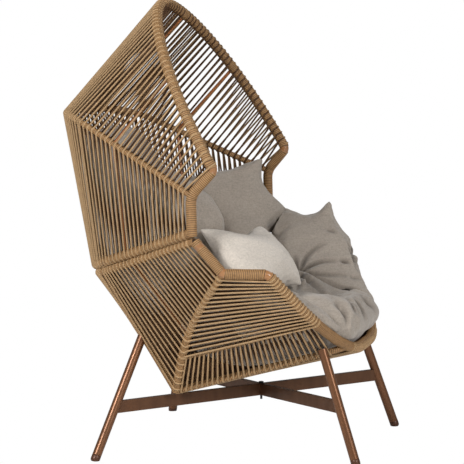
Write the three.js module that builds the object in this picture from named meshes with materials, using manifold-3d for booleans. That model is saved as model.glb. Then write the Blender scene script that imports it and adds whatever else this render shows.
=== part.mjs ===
import * as THREE from 'three';
import { mergeVertices } from 'three/addons/utils/BufferGeometryUtils.js';
import { ConvexGeometry } from 'three/addons/geometries/ConvexGeometry.js';
import Module from 'manifold-3d';

// Pod chair: a strung hood over a strung seat shell on four splayed legs.
// Millimetres, Z up, the chair faces -Y; depths below are from the middle between the feet.

const wasm = await Module();
wasm.setup();
const V = (x, y, z) => new THREE.Vector3(x, y, z);

// Clearances and stock
const gap = 0.3;
const weldDistance = 0.0001;
const overrun = 40;
const ropeWidth = 6;
const ropeThickness = 5;
const bandWidth = 7;
const hoodTubeRadius = 17;
const rimTubeRadius = 17;
const shoulderTubeRadius = 10;
const baseTubeRadius = 16;
const topTubeRadius = 13;
const creaseTubeRadius = 11;
const creaseFootRadius = 15;
const railTubeRadius = 7;
const ringTubeRadius = 11;
const rearRibRadius = 12;
const rodRadius = 5;

// Hood: front frame with its posts and arch
const postHalfWidth = 494;
const postFootDepth = 68;
const postFootHeight = 752;
const postFootDrop = 11;
const postTopDepth = 70;
const postLength = 117;
const elbowHalfWidth = 476;
const elbowRise = 79;
const archHalfWidth = 482;
const archApexDepth = 294;
const archRise = 516;
const archPowerShare = 2 / 1.85;
const postBend = 26;
const elbowBend = 14;

// Hood: shoulder rib and base rib, each a U in plan
const shoulderCornerHalfWidth = 290;
const shoulderCornerDepth = 515;
const shoulderCornerRise = 228;
const shoulderRearHalfWidth = 115;
const shoulderRearDepth = 620;
const shoulderRearRise = 238;
const baseCornerHalfWidth = 300;
const baseCornerDepth = 430;
const baseRearHalfWidth = 120;
const baseRearDepth = 517;
const baseFall = 155;
const ribBend = 160;

// Seat shell: rim, creases, lower ring
const armRearHalfWidth = 500;
const armRearDepth = -33;
const armHeight = 625;
const armFrontHalfWidth = 490;
const armFrontDepth = -174;
const armBend = 14;
const rimShoulderHalfWidth = 360;
const rimShoulderDepth = -304;
const rimShoulderHeight = 446;
const rimFrontHalfWidth = 175;
const rimFrontDepth = -378;
const rimFrontHeight = 342;
const rimBend = 210;
const creaseUpperHalfWidth = 410;
const creaseUpperDepth = 72;
const creaseUpperHeight = 496;
const creaseLowerHalfWidth = 330;
const creaseLowerDepth = 146;
const creaseLowerHeight = 369;
const creaseBend = 300;
const ringRearHalfWidth = 262;
const ringRearDepth = 195;
const ringRearHeight = 206;
const ringFrontHalfWidth = 250;
const ringFrontDepth = -331;
const ringFrontHeight = 353;
const ringNoseHalfWidth = 200;
const ringBend = 40;
const railRearHeight = 321;
const rearRibTopHalfWidth = 262;

// Base: legs, caps, crossed bars
const legRadius = 15;
const frontFootHalfWidth = 330;
const frontFootDepth = -419;
const rearFootHalfWidth = 442;
const rearFootDepth = 419;
const frontLegTopHalfWidth = 285;
const frontLegTopDepth = -299;
const frontLegTopHeight = 368;
const rearLegTopHeight = 387;
const capLength = 19;
const capNoseRadius = 9;
const capSink = 4;
const barHeight = 39;
const barThickness = 16;
const barFrontHeight = 182;
const barRearHeight = 164;
const crossBoltRadius = 4;
const crossBoltHeadRadius = 10;
const crossBoltHeadHeight = 6;
const crossNutRadius = 7;
const crossNutHeight = 14;
const boltClearance = 0.4;

// Rope pitch of each strung field, measured along its longer carrying tube
const roofPitch = 30;
const hoodSidePitch = 30;
const seatSidePitch = 28;
const seatRearPitch = 30;
const armPitch = 25;
const skirtPitch = 28;
const bottomPitch = 30;

// Places along the carrying tubes, as shares of their half length
const lowerRodShare = 0.42;
const upperRodShare = 0.8;
const sideRodShare = 0.42;
const hoodCornerShare = 0.62;
const seatRodShare = 0.4;
const seatRodFootShare = 0.58;

// What a strung field leaves free at its two sides, along its tubes
const rodMargin = 10;
const fieldSeam = 3;
const ribMargin = 19;
const ringMargin = 16;
const elbowMargin = 12;
const postMargin = 26;
const armMargin = 24;
const railMargin = 12;
const creaseMargin = 18;

// Soft parts: six petals of one cushion cover, and a throw pillow
const softGap = 0.6;
const liftDepth = -820;
const liftHeight = 572;
const wakeReach = 90;
const seatPadRearDepth = 205;
const seatPadRearHeight = 415;
const seatPadMiddleDepth = 10;
const seatPadMiddleHeight = 422;
const seatPadLapDepth = -178;
const seatPadLapHeight = 424;
const seatPadFrontDepth = -410;
const seatPadFrontHeight = 423;
const seatPadRearHalfWidth = 285;
const seatPadHalfWidth = 312;
const seatPadFrontHalfWidth = 272;
const seatPadRearHalfThickness = 150;
const seatPadHalfThickness = 152;
const seatPadLapHalfThickness = 134;
const seatPadFrontHalfThickness = 84;
const tuftDepth = -162;
const tuftHeight = 562;
const tuftSink = 22;
const tuftReach = 70;
const flankX = 235;
const flankDepth = -262;
const flankHeight = 500;
const flankSink = 26;
const flankReach = 95;
const backPadFootDepth = 245;
const backPadFootHeight = 440;
const backPadLowDepth = 325;
const backPadLowHeight = 640;
const backPadHighDepth = 452;
const backPadHighHeight = 870;
const backPadTopDepth = 500;
const backPadTopHeight = 1062;
const backPadFootHalfWidth = 285;
const backPadHalfWidth = 305;
const backPadHighHalfWidth = 292;
const backPadTopHalfWidth = 266;
const backPadFootHalfThickness = 142;
const backPadHalfThickness = 136;
const backPadHighHalfThickness = 110;
const backPadTopHalfThickness = 92;
// Seam corners of the upstanding petals and of the throw pillow
const tuckX = 110;
const tuckDepth = -10;
const tuckHeight = 515;
const notchX = 432;
const notchDepth = -8;
const notchHeight = 737;
const notchPressed = 130;
const armTipX = 424;
const armTipDepth = -168;
const armTipHeight = 764;
const armTipPressed = 136;
const noseX = 256;
const noseDepth = -366;
const noseHeight = 428;
const wingFootX = 150;
const wingFootDepth = 62;
const wingFootHeight = 545;
const wingTipX = 424;
const wingTipDepth = 74;
const wingTipHeight = 912;
const wingTopX = 330;
const wingTopDepth = 328;
const wingTopHeight = 848;
const pressedFootDepth = 120;
const pressedNotchX = 405;
const pressedNotchDepth = 105;
const pressedNotchHeight = 700;
const pressedTipX = 414;
const pressedTipDepth = 60;
const pressedTipHeight = 874;
const pressedTopX = 300;
const pressedTopDepth = 275;
const pressedTopHeight = 957;
const pressedFrontSwell = 128;
const sideEdgeBow = 44;
const tipSag = 26;
const sideFrontSwell = 46;
const sidePressedSwell = 26;
const sideBackSwell = 168;
const wingFrontSwell = 46;
const wingBackSwell = 132;
const pillowOuterX = -402;
const pillowOuterDepth = 66;
const pillowOuterHeight = 752;
const pillowInnerX = 4;
const pillowInnerDepth = -32;
const pillowInnerHeight = 725;
const pillowInnerLowX = -110;
const pillowInnerLowDepth = -186;
const pillowInnerLowHeight = 565;
const pillowOuterLowX = -430;
const pillowOuterLowDepth = -120;
const pillowOuterLowHeight = 545;
const pillowSag = 22;
const pillowSwell = 62;

const tubeSides = 8;
const rimSides = 8;
const legSides = 12;
const bendSteps = 4;

const mirror = (p) => V(-p.x, p.y, p.z);
const mirrored = (path) => path.map(mirror);
const both = (half) => [...half, ...mirrored(half).reverse()];

// A polyline through corners, each rounded by a curve that starts up to `bend` from the corner
function rounded(corners, bends, steps = bendSteps) {
  const out = [corners[0].clone()];
  for (let i = 1; i < corners.length - 1; i++) {
    const bend = Array.isArray(bends) ? bends[i - 1] : bends;
    const toA = corners[i - 1].clone().sub(corners[i]);
    const toB = corners[i + 1].clone().sub(corners[i]);
    const reach = Math.min(bend, toA.length() / 2, toB.length() / 2);
    const a = corners[i].clone().addScaledVector(toA.normalize(), reach);
    const b = corners[i].clone().addScaledVector(toB.normalize(), reach);
    const curve = new THREE.QuadraticBezierCurve3(a, corners[i].clone(), b);
    for (let k = 0; k <= steps; k++) {
      const p = curve.getPoint(k / steps);
      if (p.distanceTo(out[out.length - 1]) > gap) out.push(p);
    }
  }
  const last = corners[corners.length - 1];
  if (last.distanceTo(out[out.length - 1]) > gap) out.push(last.clone());
  return out;
}

function lengths(path) {
  const sums = [0];
  for (let i = 1; i < path.length; i++) sums.push(sums[i - 1] + path[i].distanceTo(path[i - 1]));
  return sums;
}

// The point and the direction at a share of a path's length
function along(path, share) {
  const sums = lengths(path);
  const want = Math.min(Math.max(share, 0), 1) * sums[sums.length - 1];
  let i = 1;
  while (i < path.length - 1 && sums[i] < want) i++;
  const part = (want - sums[i - 1]) / (sums[i] - sums[i - 1]);
  const dir = path[i].clone().sub(path[i - 1]).normalize();
  return { at: path[i - 1].clone().lerp(path[i], part), dir };
}

// The stretch of a path between two shares of its length
function stretch(path, from, to) {
  const sums = lengths(path);
  const total = sums[sums.length - 1];
  const out = [along(path, from).at];
  for (let i = 0; i < path.length; i++) {
    if (sums[i] > from * total + gap && sums[i] < to * total - gap) out.push(path[i].clone());
  }
  out.push(along(path, to).at);
  return out;
}

function nearest(path, point) {
  let best = { distance: Infinity };
  const sums = lengths(path);
  for (let i = 1; i < path.length; i++) {
    const at = new THREE.Line3(path[i - 1], path[i]).closestPointToPoint(point, true, V(0, 0, 0));
    const distance = at.distanceTo(point);
    if (distance < best.distance) {
      best = { distance, at, share: (sums[i - 1] + at.distanceTo(path[i - 1])) / sums[sums.length - 1] };
    }
  }
  return best;
}

function bufferFrom(points, faces) {
  const geometry = new THREE.BufferGeometry();
  geometry.setAttribute('position', new THREE.Float32BufferAttribute(points.flatMap((p) => [p.x, p.y, p.z]), 3));
  geometry.setIndex(faces.flat());
  return geometry;
}

// A round section carried along a path, with mitred corners and closed ends;
// radius is one value or a function of the share of the length
function tube(path, radius, sides = tubeSides) {
  const radiusAt = typeof radius === 'function' ? radius : () => radius;
  const sums = lengths(path);
  const points = [];
  const faces = [];
  let side = null;
  let lastDir = null;
  for (let i = 0; i < path.length; i++) {
    const before = i > 0 ? path[i].clone().sub(path[i - 1]).normalize() : null;
    const after = i < path.length - 1 ? path[i + 1].clone().sub(path[i]).normalize() : null;
    const dir = before && after ? before.clone().add(after).normalize() : (before || after).clone();
    if (!side) {
      const up = Math.abs(dir.z) < 0.9 ? V(0, 0, 1) : V(1, 0, 0);
      side = up.cross(dir).normalize();
    } else {
      side.applyQuaternion(new THREE.Quaternion().setFromUnitVectors(lastDir, dir));
      side.addScaledVector(dir, -side.dot(dir)).normalize();
    }
    lastDir = dir.clone();
    const other = dir.clone().cross(side);
    // Where the path turns, the section lies in the mitre plane and widens across the turn
    let across = null;
    let widen = 1;
    if (before && after) {
      const turn = after.clone().sub(before);
      if (turn.length() > 1e-6) {
        across = turn.normalize();
        widen = 1 / Math.max(0.5, before.dot(dir));
      }
    }
    const r = radiusAt(sums[i] / sums[sums.length - 1]);
    for (let k = 0; k < sides; k++) {
      const a = (2 * Math.PI * (k + 0.5)) / sides;
      const offset = side.clone().multiplyScalar(Math.cos(a) * r).addScaledVector(other, Math.sin(a) * r);
      if (across) offset.addScaledVector(across, offset.dot(across) * (widen - 1));
      points.push(path[i].clone().add(offset));
    }
  }
  const rings = path.length;
  for (let i = 0; i < rings - 1; i++) {
    for (let k = 0; k < sides; k++) {
      const a = i * sides + k;
      const b = i * sides + ((k + 1) % sides);
      faces.push([a, b, b + sides], [a, b + sides, a + sides]);
    }
  }
  const end = (rings - 1) * sides;
  for (let k = 1; k < sides - 1; k++) faces.push([0, k + 1, k], [end, end + k, end + k + 1]);
  return bufferFrom(points, faces);
}

// A sheet of triangles given thickness: every edge used once gets a wall
function thicken(front, back, faces) {
  const n = front.length;
  const all = [];
  const used = new Map();
  for (const [a, b, c] of faces) {
    all.push([a, b, c], [a + n, c + n, b + n]);
    for (const [s, e] of [[a, b], [b, c], [c, a]]) used.set(`${s}_${e}`, [s, e]);
  }
  for (const [s, e] of used.values()) {
    if (!used.has(`${e}_${s}`)) all.push([s, s + n, e + n], [s, e + n, e]);
  }
  return bufferFrom([...front, ...back], all);
}

function strip(lower, upper, faces) {
  // lower and upper: lists of [index, share], joined left to right
  let i = 0;
  let j = 0;
  while (i < lower.length - 1 || j < upper.length - 1) {
    const stepLower = j === upper.length - 1 || (i < lower.length - 1 && lower[i + 1][1] <= upper[j + 1][1]);
    if (stepLower) {
      faces.push([lower[i][0], lower[i + 1][0], upper[j][0]]);
      i++;
    } else {
      faces.push([lower[i][0], upper[j + 1][0], upper[j][0]]);
      j++;
    }
  }
}

// One strung field: ropes stretched between two tubes, held at each end by a band of turns
// a, b: paths of the carrying tubes; radii: their sections; pitch along a;
// margins: what the field leaves free at its start and end, in lengths along each path
function strung(a, b, radiusA, radiusB, pitch, { start = 0, end = 0, startB = start, endB = end, edgeEvery = 2 } = {}) {
  const lengthA = lengths(a).at(-1);
  const lengthB = lengths(b).at(-1);
  const count = Math.max(2, Math.round((Math.max(lengthA, lengthB) - start - end) / pitch));
  const points = [];
  const faces = [];
  const normals = [];
  const row = (share, which) => {
    const shareA = (start + share * (lengthA - start - end)) / lengthA;
    const shareB = (startB + share * (lengthB - startB - endB)) / lengthB;
    const A = along(a, shareA);
    const B = along(b, shareB);
    const rope = B.at.clone().sub(A.at);
    const span = rope.length();
    rope.normalize();
    const sinA = Math.max(0.45, rope.clone().cross(A.dir).length());
    const sinB = Math.max(0.45, rope.clone().cross(B.dir).length());
    const normalA = A.dir.clone().cross(rope).normalize();
    const normalB = B.dir.clone().cross(rope).normalize();
    const offA = (radiusA + gap) / sinA;
    const offB = (radiusB + gap) / sinB;
    const places = {
      outerA: [offA, normalA],
      innerA: [offA + bandWidth / sinA, normalA],
      innerB: [span - offB - bandWidth / sinB, normalB],
      outerB: [span - offB, normalB],
    };
    const [distance, normal] = places[which];
    points.push(A.at.clone().addScaledVector(rope, distance));
    normals.push(normal);
    return points.length - 1;
  };
  const chains = { outerA: [], innerA: [], innerB: [], outerB: [] };
  const half = ropeWidth / 2 / (Math.max(lengthA, lengthB) - start - end);
  const ropes = [];
  for (let i = 0; i < count; i++) {
    const middle = half + (i / (count - 1)) * (1 - 2 * half);
    const edges = [middle - half, middle + half];
    const ids = {};
    for (const which of ['innerA', 'innerB']) {
      ids[which] = edges.map((share) => {
        const id = row(share, which);
        chains[which].push([id, share]);
        return id;
      });
    }
    ropes.push(ids);
    if (i === 0 || i === count - 1 || i % edgeEvery === 0) {
      const share = i === 0 ? 0 : i === count - 1 ? 1 : middle;
      for (const which of ['outerA', 'outerB']) chains[which].push([row(share, which), share]);
    }
  }
  strip(chains.outerA, chains.innerA, faces);
  strip(chains.innerB, chains.outerB, faces);
  for (const ids of ropes) {
    const [a0, a1] = ids.innerA;
    const [b0, b1] = ids.innerB;
    faces.push([a0, a1, b1], [a0, b1, b0]);
  }
  const front = points.map((p, i) => p.clone().addScaledVector(normals[i], ropeThickness / 2));
  const back = points.map((p, i) => p.clone().addScaledVector(normals[i], -ropeThickness / 2));
  return thicken(front, back, faces);
}

// The closed wall that a strung field stands for, with its clearance, as a cutter:
// it has a row at both edges of every rope and at both ends of its tubes
function wall(a, b, thickness, pitch, { start = 0, end = 0, startB = start, endB = end } = {}) {
  const lengthA = lengths(a).at(-1);
  const lengthB = lengths(b).at(-1);
  const count = Math.max(2, Math.round((Math.max(lengthA, lengthB) - start - end) / pitch));
  const half = ropeWidth / 2 / (Math.max(lengthA, lengthB) - start - end);
  const rows = start || startB ? [[0, 0]] : [];
  for (let i = 0; i < count; i++) {
    const middle = half + (i / (count - 1)) * (1 - 2 * half);
    for (const share of [middle - half, middle + half]) {
      rows.push([
        (start + share * (lengthA - start - end)) / lengthA,
        (startB + share * (lengthB - startB - endB)) / lengthB,
      ]);
    }
  }
  if (end || endB) rows.push([1, 1]);
  const points = [];
  const normals = [];
  const faces = [];
  for (let i = 0; i < rows.length; i++) {
    const A = along(a, rows[i][0]);
    const B = along(b, rows[i][1]);
    const rope = B.at.clone().sub(A.at).normalize();
    points.push(A.at, B.at);
    normals.push(A.dir.clone().cross(rope).normalize(), B.dir.clone().cross(rope).normalize());
    if (i) faces.push([2 * i - 2, 2 * i, 2 * i + 1], [2 * i - 2, 2 * i + 1, 2 * i - 1]);
  }
  const front = points.map((p, i) => p.clone().addScaledVector(normals[i], thickness / 2));
  const back = points.map((p, i) => p.clone().addScaledVector(normals[i], -thickness / 2));
  return thicken(front, back, faces);
}

function toSolid(geometry) {
  const bare = geometry.clone();
  bare.deleteAttribute('normal');
  bare.deleteAttribute('uv');
  const merged = mergeVertices(bare, weldDistance);
  const solid = new wasm.Manifold(new wasm.Mesh({
    numProp: 3,
    vertProperties: Float32Array.from(merged.attributes.position.array),
    triVerts: Uint32Array.from(merged.index.array),
  }));
  return solid;
}

function fromSolid(solid) {
  const mesh = solid.getMesh();
  const geometry = new THREE.BufferGeometry();
  geometry.setAttribute('position', new THREE.Float32BufferAttribute(Array.from(mesh.vertProperties), 3));
  geometry.setIndex(Array.from(mesh.triVerts));
  return geometry;
}

const largest = (solid) => solid.decompose().sort((p, q) => q.volume() - p.volume())[0];

function cut(geometry, cutters) {
  let solid = toSolid(geometry);
  for (const cutter of cutters) solid = solid.subtract(toSolid(cutter));
  return fromSolid(largest(solid));
}

const join = (...geometries) => fromSolid(geometries.map(toSolid).reduce((p, q) => p.add(q)));
const common = (p, q) => fromSolid(toSolid(p).intersect(toSolid(q)));

// A box whose long side lies along a line, its height kept upright
function bar(from, to, thickness, height) {
  const dir = to.clone().sub(from);
  const geometry = new THREE.BoxGeometry(dir.length(), thickness, height);
  const x = dir.clone().normalize();
  const y = V(0, 0, 1).cross(x).normalize();
  const z = x.clone().cross(y);
  geometry.applyMatrix4(new THREE.Matrix4().makeBasis(x, y, z));
  const middle = from.clone().lerp(to, 0.5);
  return geometry.translate(middle.x, middle.y, middle.z);
}

// A turned profile [radius, height] stood on a point along a direction
function turned(profile, at, dir, sides) {
  const geometry = new THREE.LatheGeometry(profile.map(([r, h]) => new THREE.Vector2(r, h)), sides);
  geometry.rotateX(Math.PI / 2);
  geometry.applyQuaternion(new THREE.Quaternion().setFromUnitVectors(V(0, 0, 1), dir));
  return geometry.translate(at.x, at.y, at.z);
}

// A soft solid lofted along rows { at, across, up }: plump sections, both ends drawn in
function soft(rows, { grow = 0, ring = 20, steps = 12, section = 2.7, acrossPower = 4.5, upPower = 2.5, dents = [] } = {}) {
  const curveOf = (key) => new THREE.CatmullRomCurve3(rows.map((row) => row[key].clone()), false, 'catmullrom', 0.5);
  const spine = curveOf('at');
  const acrossAt = curveOf('across');
  const upAt = curveOf('up');
  const longer = (v) => v.setLength(v.length() + grow);
  const turn = rows[0].across.clone().cross(rows[0].up).dot(rows[rows.length - 1].at.clone().sub(rows[0].at)) < 0 ? -1 : 1;
  const points = [];
  const faces = [];
  const shaped = (v) => Math.sign(v) * Math.abs(v) ** (2 / section);
  for (let i = 0; i <= steps; i++) {
    const t = -Math.cos((Math.PI * i) / steps);
    const share = (t + 1) / 2;
    const at = spine.getPoint(share).addScaledVector(spine.getTangent(share), t * grow);
    const across = longer(acrossAt.getPoint(share)).multiplyScalar((1 - Math.abs(t) ** acrossPower) ** (1 / acrossPower));
    const up = longer(upAt.getPoint(share)).multiplyScalar((1 - Math.abs(t) ** upPower) ** (1 / upPower));
    const pole = i === 0 || i === steps;
    for (let k = 0; k < (pole ? 1 : ring); k++) {
      const a = (2 * Math.PI * k) / ring;
      const p = at.clone();
      if (!pole) p.addScaledVector(across, shaped(Math.cos(a))).addScaledVector(up, shaped(Math.sin(a)) * turn);
      for (const dent of dents) p.addScaledVector(dent.push, Math.exp(-((p.distanceTo(dent.at) / dent.reach) ** 2)));
      points.push(p);
    }
  }
  const row = (i, k) => (i === 0 ? 0 : i === steps ? points.length - 1 : 1 + (i - 1) * ring + (k % ring));
  for (let i = 0; i < steps; i++) {
    for (let k = 0; k < ring; k++) {
      if (i > 0) faces.push([row(i, k), row(i, k + 1), row(i + 1, k)]);
      if (i < steps - 1) faces.push([row(i, k + 1), row(i + 1, k + 1), row(i + 1, k)]);
    }
  }
  return bufferFrom(points, faces);
}

// A knife-edged pad between four seam corners: it swells to both sides of their mean plane,
// and each edge bows by its own vector
function pinched(corners, toward, swellFront, swellBack, { grow = 0, steps = 10, edgePower = 2.4, edgeShare = 0.55, bows = [] } = {}) {
  const [a, b, c, d] = corners;
  const normal = c.clone().sub(a).cross(d.clone().sub(b)).normalize();
  if (normal.dot(toward) < 0) normal.negate();
  const centre = a.clone().add(b).add(c).add(d).multiplyScalar(1 / 4);
  const spread = a.distanceTo(c) / 2;
  const front = [];
  const back = [];
  for (let i = 0; i <= steps; i++) {
    for (let j = 0; j <= steps; j++) {
      const u = -Math.cos((Math.PI * i) / steps);
      const v = -Math.cos((Math.PI * j) / steps);
      const lower = a.clone().lerp(b, (u + 1) / 2);
      const upper = d.clone().lerp(c, (u + 1) / 2);
      const p = lower.lerp(upper, (v + 1) / 2);
      const shares = [(1 - u * u) * (1 - v) / 2, (1 - v * v) * (1 + u) / 2, (1 - u * u) * (1 + v) / 2, (1 - v * v) * (1 - u) / 2];
      bows.forEach((bow, k) => bow && p.addScaledVector(bow, shares[k]));
      p.sub(centre).multiplyScalar(1 + grow / spread).add(centre);
      const swell = ((1 - Math.abs(u) ** edgePower) * (1 - Math.abs(v) ** edgePower)) ** edgeShare;
      front.push(p.clone().addScaledVector(normal, swell * (swellFront + grow)));
      back.push(p.clone().addScaledVector(normal, -swell * (swellBack + grow)));
    }
  }
  const size = steps + 1;
  const onEdge = (i, j) => i === 0 || j === 0 || i === steps || j === steps;
  const points = front.slice();
  const backIndex = back.map((p, k) => {
    const [i, j] = [Math.floor(k / size), k % size];
    if (onEdge(i, j)) return k;
    points.push(p);
    return points.length - 1;
  });
  const outward = b.clone().sub(a).cross(d.clone().sub(a)).dot(normal) > 0;
  const faces = [];
  const quad = (k0, k1, k2, k3, flip) => (flip ? faces.push([k0, k2, k1], [k0, k3, k2]) : faces.push([k0, k1, k2], [k0, k2, k3]));
  for (let i = 0; i < steps; i++) {
    for (let j = 0; j < steps; j++) {
      const cell = [i * size + j, (i + 1) * size + j, (i + 1) * size + j + 1, i * size + j + 1];
      quad(...cell, !outward);
      quad(...cell.map((k) => backIndex[k]), outward);
    }
  }
  return bufferFrom(points, faces);
}

// What a tube sweeps when it is pushed back against the way that the cushion lifts out
function wakes(path, radius, back) {
  const rings = path.map((at, i) => {
    const dir = path[Math.min(i + 1, path.length - 1)].clone().sub(path[Math.max(i - 1, 0)]).normalize();
    const side = V(0, 0, 1).cross(dir).normalize();
    const other = dir.clone().cross(side);
    return Array.from({ length: tubeSides }, (_, k) => {
      const a = (2 * Math.PI * (k + 0.5)) / tubeSides;
      return at.clone().addScaledVector(side, Math.cos(a) * radius).addScaledVector(other, Math.sin(a) * radius);
    });
  });
  return rings.slice(1).map((ring, i) => {
    const near = [...ring, ...rings[i]];
    return new ConvexGeometry([...near, ...near.map((p) => p.clone().add(back))]);
  });
}

const group = new THREE.Group();
group.name = 'pod_chair';
const materials = {
  rope: new THREE.MeshStandardMaterial({ color: 0xa9875c, roughness: 0.85 }),
  wrap: new THREE.MeshStandardMaterial({ color: 0x9c7b50, roughness: 0.85 }),
  rod: new THREE.MeshStandardMaterial({ color: 0x8a5a34, roughness: 0.5 }),
  leg: new THREE.MeshStandardMaterial({ color: 0x6d4630, roughness: 0.45 }),
  cap: new THREE.MeshStandardMaterial({ color: 0x4d3122, roughness: 0.7 }),
  bolt: new THREE.MeshStandardMaterial({ color: 0x1c1a19, roughness: 0.4 }),
  cushion: new THREE.MeshStandardMaterial({ color: 0x9d968c, roughness: 0.95 }),
  pillow: new THREE.MeshStandardMaterial({ color: 0xcfc8bc, roughness: 0.95 }),
};

function add(name, geometry, material) {
  const mesh = new THREE.Mesh(geometry, materials[material].clone());
  mesh.name = name;
  group.add(mesh);
}

// Paths
const postTopHeight = postFootHeight + postLength;
const archFootHeight = postTopHeight + elbowRise;
const postFoot = V(postHalfWidth, postFootDepth, postFootHeight);
const postTop = V(postHalfWidth, postTopDepth, postTopHeight);
const elbow = V(elbowHalfWidth, 0, archFootHeight);
const archSteps = 20;
const archPath = [];
for (let i = 1; i < archSteps; i++) {
  const angle = (Math.PI * i) / archSteps;
  const rise = Math.sin(angle) ** archPowerShare;
  const reach = Math.sign(Math.cos(angle)) * Math.abs(Math.cos(angle)) ** archPowerShare;
  archPath.push(V(
    archHalfWidth * reach,
    archApexDepth * rise,
    archFootHeight + archRise * rise,
  ));
}
const postLine = rounded([V(postHalfWidth, postFootDepth, postFootHeight - postFootDrop), postTop, elbow, archPath[0]], [postBend, elbowBend], 3);
const frontFramePath = [...postLine.slice(0, -1), ...archPath, ...mirrored(postLine.slice(0, -1)).reverse()];
const archHalf = [elbow, ...archPath.slice(0, archSteps / 2)];

const shoulderPath = rounded(both([
  postTop,
  V(shoulderCornerHalfWidth, shoulderCornerDepth, postTopHeight + shoulderCornerRise),
  V(shoulderRearHalfWidth, shoulderRearDepth, postTopHeight + shoulderRearRise),
]), ribBend);

const baseFallShare = baseFall / (baseRearDepth - postFootDepth);
const baseHeightAt = (depth) => postFootHeight - baseFallShare * (depth - postFootDepth);
const basePath = rounded(both([
  postFoot,
  V(baseCornerHalfWidth, baseCornerDepth, baseHeightAt(baseCornerDepth)),
  V(baseRearHalfWidth, baseRearDepth, postFootHeight - baseFall),
]), ribBend);

// The seat's top rib lies under the hood's base rib, square to the plane that both lie in
const jointNormal = V(0, baseFallShare, 1).normalize();
const stack = baseTubeRadius + topTubeRadius + gap;
const underBase = (p) => p.clone().addScaledVector(jointNormal, -stack);
const topPath = basePath.map(underBase);
const rimEnd = underBase(postFoot);

const rimCorners = [
  rimEnd,
  V(armRearHalfWidth, armRearDepth, armHeight),
  V(armFrontHalfWidth, armFrontDepth, armHeight),
  V(rimShoulderHalfWidth, rimShoulderDepth, rimShoulderHeight),
  V(rimFrontHalfWidth, rimFrontDepth, rimFrontHeight),
];
const rimBends = [armBend, armBend, rimBend, rimBend];
const rimPath = rounded(both(rimCorners), [...rimBends, ...rimBends.slice().reverse()]);
const armCorner = rimCorners[1];

const ringCorner = V(ringRearHalfWidth, ringRearDepth, ringRearHeight);
const creasePath = rounded([
  armCorner,
  V(creaseUpperHalfWidth, creaseUpperDepth, creaseUpperHeight),
  V(creaseLowerHalfWidth, creaseLowerDepth, creaseLowerHeight),
  ringCorner,
], creaseBend);
const ringFront = V(ringFrontHalfWidth, ringFrontDepth, ringFrontHeight);
const ringNose = nearest(rimPath, V(ringNoseHalfWidth, rimFrontDepth, rimFrontHeight)).at;
const ringPath = rounded(both([ringNose, ringFront, ringCorner]), ringBend);

const railRear = (() => {
  for (let i = 1; i < creasePath.length; i++) {
    if (creasePath[i].z <= railRearHeight) {
      const part = (railRearHeight - creasePath[i - 1].z) / (creasePath[i].z - creasePath[i - 1].z);
      return creasePath[i - 1].clone().lerp(creasePath[i], part);
    }
  }
  return creasePath.at(-1);
})();
const railFront = nearest(rimPath, rimCorners[3]).at;
const railPath = [railRear, railFront];

// Half paths from the side to the middle, for the fields that they carry
const halfOf = (path) => stretch(path, 0, 0.5);
const shoulderHalf = halfOf(shoulderPath);
const baseHalf = halfOf(basePath);
const topHalf = halfOf(topPath);

// The rear rib drops from the top rib to the ring's rear corner
const rearRibTop = nearest(topHalf, V(rearRibTopHalfWidth, baseCornerDepth, topHalf.at(-1).z));
const rearRibPath = [rearRibTop.at, ringCorner];

// Tubes and ribs
const wider = (path, radius, sides) => tube(path, typeof radius === 'function' ? (s) => radius(s) + gap : radius + gap, sides);
// Seen from the seat, the right side lies at -X and the left side at +X
const sides = [['left', (path) => path], ['right', mirrored]];

const creaseRadius = (share) => creaseTubeRadius + (creaseFootRadius - creaseTubeRadius) * share;

const frontFrameCutter = wider(frontFramePath, hoodTubeRadius, rimSides);
const baseCutter = wider(basePath, baseTubeRadius);
const shoulderCutter = wider(shoulderPath, shoulderTubeRadius);
const rimCutter = wider(rimPath, rimTubeRadius, rimSides);
const topCutter = wider(topPath, topTubeRadius);
const ringCutter = wider(ringPath, ringTubeRadius);

add('hood_front_frame', tube(frontFramePath, hoodTubeRadius, rimSides), 'wrap');
add('hood_shoulder_rib', cut(tube(shoulderPath, shoulderTubeRadius), [frontFrameCutter]), 'wrap');
add('hood_base_rib', cut(tube(basePath, baseTubeRadius), [frontFrameCutter]), 'wrap');
add('seat_rim', cut(tube(rimPath, rimTubeRadius, rimSides), [baseCutter]), 'wrap');
add('seat_top_rib', cut(tube(topPath, topTubeRadius), [rimCutter]), 'wrap');
add('seat_ring', cut(tube(ringPath, ringTubeRadius), [rimCutter]), 'wrap');

const creaseCutters = {};
const rearRibCutters = {};
const railCutters = {};
for (const [side, place] of sides) {
  const crease = place(creasePath);
  const rail = place(railPath);
  const rearRib = place(rearRibPath);
  creaseCutters[side] = wider(crease, creaseRadius);
  rearRibCutters[side] = wider(rearRib, rearRibRadius);
  railCutters[side] = wider(rail, railTubeRadius);
  add(`seat_crease_rib_${side}`, cut(tube(crease, creaseRadius), [rimCutter, ringCutter]), 'wrap');
  add(`seat_rail_${side}`, cut(tube(rail, railTubeRadius), [rimCutter, creaseCutters[side]]), 'wrap');
  add(`seat_rear_rib_${side}`, cut(tube(rearRib, rearRibRadius), [topCutter, ringCutter, creaseCutters[side]]), 'wrap');
}

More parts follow.
